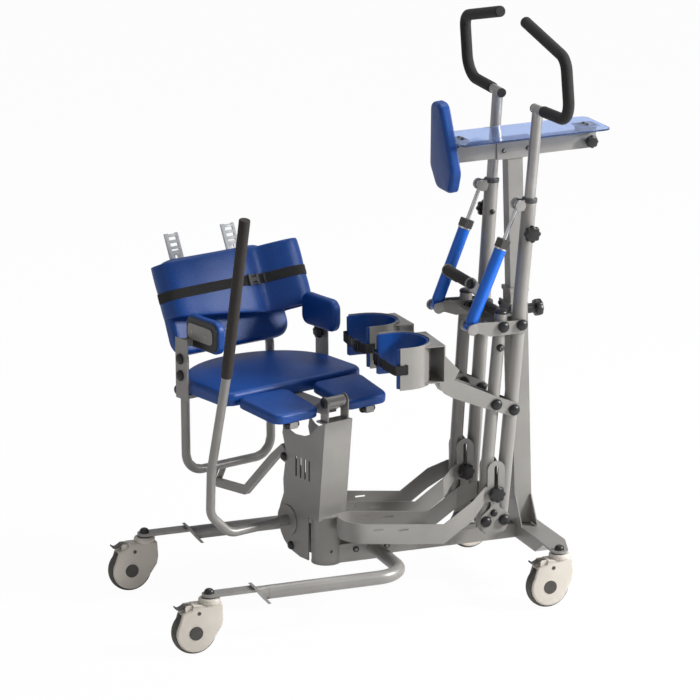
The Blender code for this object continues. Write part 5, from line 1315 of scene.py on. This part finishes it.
def make_wheel(name, stem, trail):
    """A rounded grey tyre on a lighter core, turning about its own axle."""
    radius = 0.0625
    w = 0.0150
    depth = bpy.context.scene.frame_sizes.tread_depth
    hub = stem @ at(-trail, 0, radius) @ spin("X", 90)
    tyre = [(radius - depth, -w)]
    for k in range(9):
        angle = math.radians(-90 + 180 * k / 8)
        tyre.append((radius - 0.0070 + 0.0070 * math.cos(angle), (w - 0.0005) * math.sin(angle)))
    tyre += [(radius - depth, w)]
    piece = add_mesh(name + "_tyre", *ring_form(tyre, hub, WHEEL_SIDES), "tread", angle=50)
    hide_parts(name + "_wheel")
    carry(piece, name + "_wheel_body")
    core = [(0.0051, -0.0120), (0.0160, -0.0120), (0.0190, -0.0080), (0.0440, -0.0080), (0.0500, -0.0140),
            (radius - depth + 0.0002, -0.0142), (radius - depth + 0.0002, 0.0142), (0.0500, 0.0140),
            (0.0440, 0.0080),
            (0.0190, 0.0080), (0.0160, 0.0120), (0.0051, 0.0120)]
    piece = add_mesh(name + "_core", *ring_form(core, hub, WHEEL_SIDES), "caster_plastic", angle=40)
    carry(piece, name + "_wheel_body")


def make_pedal(name, stem, hinge):
    """The curved brake pedal with its ribbed toe."""
    x, z = hinge
    curve = smooth_line([(0.004, 0.001, 0), (-0.006, 0.0020, 0), (-0.014, -0.0018, 0), (-0.022, -0.0050, 0),
                         (-0.029, -0.0035, 0), (-0.0325, 0.0005, 0)], 6)
    parts = []
    rows = []
    for i, p in enumerate(curve):
        along = (curve[min(i + 1, len(curve) - 1)] - curve[max(i - 1, 0)]).normalized()
        up = Vector((-along.y, along.x, 0)) * -1
        half = 0.0112 * (1 - 0.10 * (i / len(curve)))
        thick = 0.0020
        row = []
        for across, rise in ((-1, 0.4), (-0.94, 1), (0.94, 1), (1, 0.4), (1, -0.4), (0.94, -1), (-0.94, -1),
                             (-1, -0.4)):
            q = p + up * (rise * thick)
            row.append(stem @ Vector((x + q.x, across * half, z + q.y)))
        rows.append(row)
    parts.append(rows_mesh(rows))
    for k in range(3):
        p = curve[-3 - 3 * k]
        spot = stem @ Vector((x + p.x, 0, z + p.y + 0.0022))
        parts.append(block(spot, Vector((1, 0, 0)), Vector((0, 1, 0)), Vector((0, 0, 1)),
                           (0.0014, 0.019, 0.0014), 0.0003))
    piece = add_mesh(name + "_brake", *joined(*parts), "dark_steel", angle=30)
    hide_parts(name + "_pedal")
    carry(piece, name + "_pedal_body")
    pin = [stem @ Vector((x, y, z)) for y in (-0.0158, 0.0158)]
    tube_piece(name + "_brake_pin", pin, 0.0030, "bright_steel", name + "_pedal_body",
               facets=16)


# Solids that stay

KEPT_FINISHES = {
    "grey_paint": "powder_coat",
    "bright_steel": "bright_steel",
    "blue_paint": "cylinder_paint",
    "foam_grip": "foam",
    "webbing": "webbing",
    "caster_plastic": "caster_plastic",
    "tyre": "tread",
    "black_plastic": "black_plastic",
    "clear_blue": "clear_tray",
    "blue_vinyl": "vinyl",
}


def smoothing_tree():
    """Joins loose triangles and smooths what is nearly flat, for the solids that stay."""
    tree, source, sink = start_tree("Soft Faces")
    tree_input(tree, "Join Distance", "NodeSocketFloat", 0.00002)
    tree_input(tree, "Crisp Angle", "NodeSocketFloat", 0.60)
    tree_input(tree, "Material", "NodeSocketMaterial")
    weld = tree.nodes.new("GeometryNodeMergeByDistance")
    tree.links.new(source.outputs["Geometry"], weld.inputs["Geometry"])
    tree.links.new(source.outputs["Join Distance"], weld.inputs["Distance"])
    end_tree(tree, source, sink, weld.outputs["Geometry"])
    return tree


def finish_solids():
    """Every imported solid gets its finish, and its round faces are shaded round."""
    slots = {part["node"]: part["material_slot"] for part in frame["record"]["subparts"]}
    for name, node in frame["nodes"].items():
        material = MATERIALS[SPECIAL_FINISHES.get(name, KEPT_FINISHES[slots[name]])]
        if not node.material_slots:
            node.data.materials.append(material)
        for slot in node.material_slots:
            slot.material = material
        modifier = node.modifiers.new("Soft Faces", "NODES")
        modifier.node_group = TREES["smoothing"]
        for item in TREES["smoothing"].interface.items_tree:
            if item.in_out == "INPUT" and item.name == "Material":
                modifier[item.identifier] = material


def make_column_shade_sheet():
    """A dark sheet inside the folded column, behind its slots: painted shade for the column's shadowed
    inside.
    """
    axes = [(SEAT.to_3x3() @ Vector(v)).normalized() for v in ((1, 0, 0), (0, 0, 1), (0, -1, 0))]
    web = block(SEAT @ Vector((-0.0815, 0.0, 0.1610)), *axes, (0.0670, 0.0860, 0.0016), 0.0004)
    # Dark sheet of painted shade, seen through the column's slots
    carry(add_mesh("column_web", *web, "dark_steel"), "seat_swivel_body")


SPECIAL_FINISHES = {"hydraulic_unit": "black_plastic", "handle_stem_left": "satin_steel",
                    "handle_stem_right": "satin_steel"}


# Knee cups and chest pad

def cup_line(side, radius, lip, steps=40):
    """The cup's C shape seen from above, from one lip round to the other."""
    centre = Vector((-0.346, side * -0.0075))
    line = [Vector((lip, centre.y - radius))]
    for k in range(steps + 1):
        angle = math.radians(-90 + 180 * k / steps)
        line.append(centre + Vector((math.cos(angle), math.sin(angle))) * radius)
    line.append(Vector((lip, centre.y + radius)))
    return even_steps(line, 70, closed=False)


def make_knee_pads():
    for side, tag in SIDES.items():
        here = glider(side)
        low, high, thick = -0.132, -0.019, 0.0090
        line = cup_line(side, 0.083 - 0.003 - 0.0003 - thick / 2, -0.386)
        rows = []
        count = len(line)
        for i, p in enumerate(line):
            along = (line[min(i + 1, count - 1)] - line[max(i - 1, 0)]).normalized()
            out = Vector((along.y, -along.x))
            end = min(i, count - 1 - i)
            ease = min(1.0, math.sin(math.pi / 2 * min(1.0, (end + 0.6) / 3)))
            row = []
            for k in range(44):
                angle = 2 * math.pi * k / 44
                c, s = math.cos(angle), math.sin(angle)
                flat = math.copysign(abs(c) ** 0.30, c)
                rise = math.copysign(abs(s) ** 0.85, s)
                rise = max(-1.0, min(1.0, rise * 1.04))
                lift = (low + high) / 2 + rise * ((high - low) / 2 - (1 - ease) * 0.003)
                swell = thick / 2 * flat * ease
                q = p + out * swell
                row.append(here @ Vector((q.x, q.y, lift)))
            rows.append(row)
        piece = add_mesh("knee_lining_" + tag, *rows_mesh(rows), "vinyl", angle=70)
        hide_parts("knee_pad_" + tag)
        carry(piece, "knee_level_%s_body" % tag)
        make_knee_strap(side, tag, here)


def make_knee_strap(side, tag, here):
    """Webbing across the open front of the cup, with a ladder buckle and a keeper."""
    centre = side * -0.0075
    outside = 0.0848
    path = [(-0.356, outside), (-0.3850, outside), (-0.3945, 0.078), (-0.3990, 0.030), (-0.3995, -0.030)]
    path += [(-0.3945, -0.078), (-0.3850, -outside), (-0.364, -outside)]
    line = smooth_line([(x, centre + side * y, 0) for x, y in path], 8)
    points, outs, ups = [], [], []
    up = (here.to_3x3() @ Vector((0, 0, 1))).normalized()
    for i, p in enumerate(line):
        along = (line[min(i + 1, len(line) - 1)] - line[max(i - 1, 0)]).normalized()
        out = here.to_3x3() @ (Vector((along.y, -along.x, 0)) * -side)
        points.append(here @ Vector((p.x, p.y, -0.077)))
        outs.append(out.normalized())
        ups.append(up)
    form = rows_mesh(band_rows(points, outs, ups, 0.027, 0.0023))
    piece = add_mesh("knee_webbing_" + tag, *form, "webbing", angle=50)
    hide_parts("knee_strap_" + tag)
    body = "knee_level_%s_body" % tag
    carry(piece, body)
    parts = []
    x_axis = (here.to_3x3() @ Vector((0, 1, 0))).normalized()
    z_axis = (here.to_3x3() @ Vector((-1, 0, 0))).normalized()
    middle = here @ Vector((-0.4000, centre - side * 0.038, -0.077))
    for shift in (-0.0125, 0.0, 0.0125):
        parts.append(block(middle + x_axis * shift + z_axis * 0.0010, x_axis, up, z_axis,
                           (0.0040, 0.034, 0.0050), 0.0010))
    for rise in (-0.0160, 0.0160):
        parts.append(block(middle + up * rise + z_axis * 0.0008, x_axis, up, z_axis,
                           (0.0290, 0.0036, 0.0056), 0.0010))
    keeper = here @ Vector((-0.3992, centre + side * 0.016, -0.077))
    parts.append(block(keeper, x_axis, up, z_axis, (0.0080, 0.0305, 0.0052), 0.0012))
    tail = here @ Vector((-0.4012, centre - side * 0.012, -0.077))
    parts.append(block(tail, x_axis, up, z_axis, (0.030, 0.0250, 0.0020), 0.0006))
    carry(add_mesh("knee_buckle_" + tag, *joined(*parts), "black_plastic", angle=40), body)


def make_chest_pad():
    corners = [(-0.045, 0), (0.045, 0), (0.0825, 0.062), (0.034, 0.252), (-0.034, 0.252), (-0.0825, 0.062)]
    outline = filleted(corners, 0.028, 8)
    foam_piece("chest_cushion", outline, 0.0305, PAD @ spin("Z", 180), "tray_reach_body", "chest_pad", "yz",
               edge=0.012,
               crown=0.0035, pull=0.0010)


def make_tray_plates():
    """Grey feet and pale end plates under the clear tray."""
    axes = [(MAST.to_3x3() @ Vector(v)).normalized() for v in ((1, 0, 0), (0, 1, 0), (0, 0, 1))]
    feet, plates = [], []
    for x, length, wide in ((-0.153, 0.0268, 0.0300), (0.2205, 0.0478, 0.0600)):
        feet.append(block(MAST @ Vector((x, 0, 1.1166)), *axes, (length, 0.0428, 0.0172), 0.0008))
        plates.append(block(MAST @ Vector((x, 0, 1.1243)), *axes, (wide, 0.0620, 0.0018), 0.0005))
    carry(add_mesh("tray_feet", *joined(*feet), "powder_coat"), "tray_slide_body")
    carry(add_mesh("tray_end_plates", *joined(*plates), "beige_plastic"), "tray_slide_body")


# Stage

def make_stage():
    """A pale floor, a soft key, fill and top light, and the camera of the photograph."""
    scene = bpy.context.scene
    scene.view_settings.view_transform = "Standard"
    world = bpy.data.worlds.new("Studio")
    world.use_nodes = True
    scene.world = world
    tree = world.node_tree
    tree.nodes.clear()
    sink = tree.nodes.new("ShaderNodeOutputWorld")
    soft = tree.nodes.new("ShaderNodeBackground")
    plain = tree.nodes.new("ShaderNodeBackground")
    soft.inputs["Color"].default_value = (0.90, 0.90, 0.92, 1)
    soft.inputs["Strength"].default_value = 0.24
    plain.inputs["Color"].default_value = (1, 1, 1, 1)
    plain.inputs["Strength"].default_value = 1.0
    mix_backgrounds(tree, soft.outputs[0], plain.outputs[0], sink.inputs["Surface"])
    floor_material = bpy.data.materials.new("pale_floor")
    floor_material.use_nodes = True
    tree = floor_material.node_tree
    shader = tree.nodes["Principled BSDF"]
    shader.inputs["Base Color"].default_value = (0.93, 0.93, 0.93, 1)
    shader.inputs["Roughness"].default_value = 0.8
    shader.inputs["Specular IOR Level"].default_value = 0.1
    shader.inputs["Emission Color"].default_value = (1, 1, 1, 1)
    glow = tree.nodes.new("ShaderNodeEmission")
    glow.inputs["Strength"].default_value = 1.0
    sink = tree.nodes["Material Output"]
    mix_backgrounds(tree, shader.outputs[0], glow.outputs[0], sink.inputs["Surface"], FLOOR_WHITE)
    mesh = bpy.data.meshes.new("floor")
    reach = 14.0
    mesh.from_pydata([(-reach, -reach, -0.0008), (reach, -reach, -0.0008), (reach, reach, -0.0008),
                      (-reach, reach, -0.0008)],
                     [], [(0, 1, 2, 3)])
    floor = bpy.data.objects.new("floor", mesh)
    mesh.materials.append(floor_material)
    scene.collection.objects.link(floor)
    for name, spot, aim, size, power in LAMPS:
        data = bpy.data.lights.new(name, "AREA")
        data.shape = "DISK"
        data.size = size
        data.energy = power
        lamp = bpy.data.objects.new(name, data)
        turn = (Vector(spot) - Vector(aim)).to_track_quat("Z", "Y")
        lamp.matrix_world = at(*spot) @ turn.to_matrix().to_4x4()
        scene.collection.objects.link(lamp)
    make_camera(scene)


LAMPS = [
    ("key", (4.2, -2.6, 3.0), (0.1, 0, 0.8), 1.2, 400.0),
    ("fill", (-3.8, -2.0, 2.2), (0, 0, 0.8), 2.6, 8.0),
    ("top", (0.8, 0.6, 4.6), (0, 0, 0.7), 2.4, 60.0),
]
FLOOR_WHITE = 0.97
GLOSS_WHITE = 0.30


def mix_backgrounds(tree, lit, plain, target, share=1.0):
    """The camera and clear plastic see the plain one, gloss a share of it, and the rest the lit one."""
    paths = tree.nodes.new("ShaderNodeLightPath")
    total = paths.outputs["Is Camera Ray"]
    for label, weight in (("Is Glossy Ray", GLOSS_WHITE), ("Is Transmission Ray", 1.0)):
        both = tree.nodes.new("ShaderNodeMath")
        both.operation = "MULTIPLY_ADD"
        both.inputs[1].default_value = weight
        tree.links.new(paths.outputs[label], both.inputs[0])
        tree.links.new(total, both.inputs[2])
        total = both.outputs[0]
    if share < 1.0:
        part = tree.nodes.new("ShaderNodeMath")
        part.operation = "MULTIPLY"
        part.inputs[1].default_value = share
        tree.links.new(total, part.inputs[0])
        total = part.outputs[0]
    mix = tree.nodes.new("ShaderNodeMixShader")
    tree.links.new(total, mix.inputs["Fac"])
    tree.links.new(lit, mix.inputs[1])
    tree.links.new(plain, mix.inputs[2])
    tree.links.new(mix.outputs[0], target)


def make_camera(scene):
    """The viewpoint of the photograph, found from the object's own lines."""
    azimuth, elevation, roll = (math.radians(a) for a in (-20.79203, 15.38617, -0.30597))
    back = Vector((math.sin(azimuth) * math.cos(elevation), -math.cos(azimuth) * math.cos(elevation),
                   math.sin(elevation)))
    right = Vector((math.cos(azimuth), math.sin(azimuth), 0))
    up = back.cross(right)
    level = right * math.cos(roll) + up * math.sin(roll)
    upright = up * math.cos(roll) - right * math.sin(roll)
    turn = Matrix((level, upright, back)).transposed()
    data = bpy.data.cameras.new("camera")
    data.lens = 3846.719 / 700 * 36
    data.sensor_width = 36
    data.dof.use_dof = False
    data.clip_end = 100
    camera = bpy.data.objects.new("camera", data)
    camera.matrix_world = PLAN @ at(-3.60140, -9.51930, 3.51502) @ turn.to_4x4()
    scene.collection.objects.link(camera)
    scene.camera = camera


# Operators, panel and registration

class PieceOperator:
    bl_options = {"REGISTER"}

    def execute(self, context):
        self.make()
        return {"FINISHED"}


class FRAME_OT_finishes(PieceOperator, bpy.types.Operator):
    """Build the shader groups, the finishes and the Geometry Nodes trees"""
    bl_idname = "standing_frame.finishes"
    bl_label = "Finishes"

    def make(self):
        make_finishes()
        TREES.update(sweep=sweep_tree(), scatter=scatter_tree(), smoothing=smoothing_tree())


class FRAME_OT_solids(PieceOperator, bpy.types.Operator):
    """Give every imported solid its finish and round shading"""
    bl_idname = "standing_frame.solids"
    bl_label = "Solids"

    def make(self):
        finish_solids()
        make_column_shade_sheet()


class FRAME_OT_seat(PieceOperator, bpy.types.Operator):
    """Upholster the seat, the thigh flaps and the hip pads"""
    bl_idname = "standing_frame.seat"
    bl_label = "Seat"

    def make(self):
        make_seat()


class FRAME_OT_back(PieceOperator, bpy.types.Operator):
    """Upholster the back and strap the waist pad round it"""
    bl_idname = "standing_frame.back"
    bl_label = "Back and Waist Pad"

    def make(self):
        make_back()


class FRAME_OT_chest(PieceOperator, bpy.types.Operator):
    """Upholster the chest pad"""
    bl_idname = "standing_frame.chest"
    bl_label = "Chest Pad"

    def make(self):
        make_chest_pad()
        make_tray_plates()


class FRAME_OT_knees(PieceOperator, bpy.types.Operator):
    """Line the knee cups and strap them"""
    bl_idname = "standing_frame.knees"
    bl_label = "Knee Cups"

    def make(self):
        make_knee_pads()


class FRAME_OT_tubes(PieceOperator, bpy.types.Operator):
    """Lay smooth tubes over the faceted ones"""
    bl_idname = "standing_frame.tubes"
    bl_label = "Tubes"

    def make(self):
        make_tubes()


class FRAME_OT_grips(PieceOperator, bpy.types.Operator):
    """Make the foam grips and the lever"""
    bl_idname = "standing_frame.grips"
    bl_label = "Grips and Lever"

    def make(self):
        make_grips()


class FRAME_OT_cylinders(PieceOperator, bpy.types.Operator):
    """Make the resistance cylinders and their rods"""
    bl_idname = "standing_frame.cylinders"
    bl_label = "Cylinders"

    def make(self):
        make_cylinders()


class FRAME_OT_casters(PieceOperator, bpy.types.Operator):
    """Make the four braked casters"""
    bl_idname = "standing_frame.casters"
    bl_label = "Casters"

    def make(self):
        for name in WHEELS:
            make_caster(name)


class FRAME_OT_fittings(PieceOperator, bpy.types.Operator):
    """Set the dome caps, screws and clamping knobs"""
    bl_idname = "standing_frame.fittings"
    bl_label = "Caps, Screws and Knobs"

    def make(self):
        make_caps()
        make_bolts()
        make_knobs()


class FRAME_OT_stage(PieceOperator, bpy.types.Operator):
    """Set the floor, the lights and the camera"""
    bl_idname = "standing_frame.stage"
    bl_label = "Stage"

    def make(self):
        make_stage()


OPERATORS = (FRAME_OT_finishes, FRAME_OT_solids, FRAME_OT_seat, FRAME_OT_back, FRAME_OT_chest,
             FRAME_OT_knees,
             FRAME_OT_tubes, FRAME_OT_grips, FRAME_OT_cylinders, FRAME_OT_casters, FRAME_OT_fittings,
             FRAME_OT_stage)


class FRAME_PT_panel(bpy.types.Panel):
    """Lists the sizes, the colours and the pieces in the order they are made"""
    bl_idname = "FRAME_PT_panel"
    bl_label = "Standing Frame"
    bl_space_type = "VIEW_3D"
    bl_region_type = "UI"
    bl_category = "Standing Frame"

    def draw(self, context):
        for group in (context.scene.frame_sizes, context.scene.frame_colours):
            for name in group.__annotations__:
                self.layout.prop(group, name)
        for operator in OPERATORS:
            self.layout.operator(operator.bl_idname)


CLASSES = (FrameSizes, FrameColours, *OPERATORS, FRAME_PT_panel)


def register():
    for kind in CLASSES:
        bpy.utils.register_class(kind)
    bpy.types.Scene.frame_sizes = PointerProperty(type=FrameSizes)
    bpy.types.Scene.frame_colours = PointerProperty(type=FrameColours)


def unregister():
    del bpy.types.Scene.frame_colours
    del bpy.types.Scene.frame_sizes
    for kind in reversed(CLASSES):
        bpy.utils.unregister_class(kind)


def main():
    register()
    for operator in OPERATORS:
        group, name = operator.bl_idname.split(".")
        getattr(getattr(bpy.ops, group), name)()


if __name__ == "__main__":
    main()
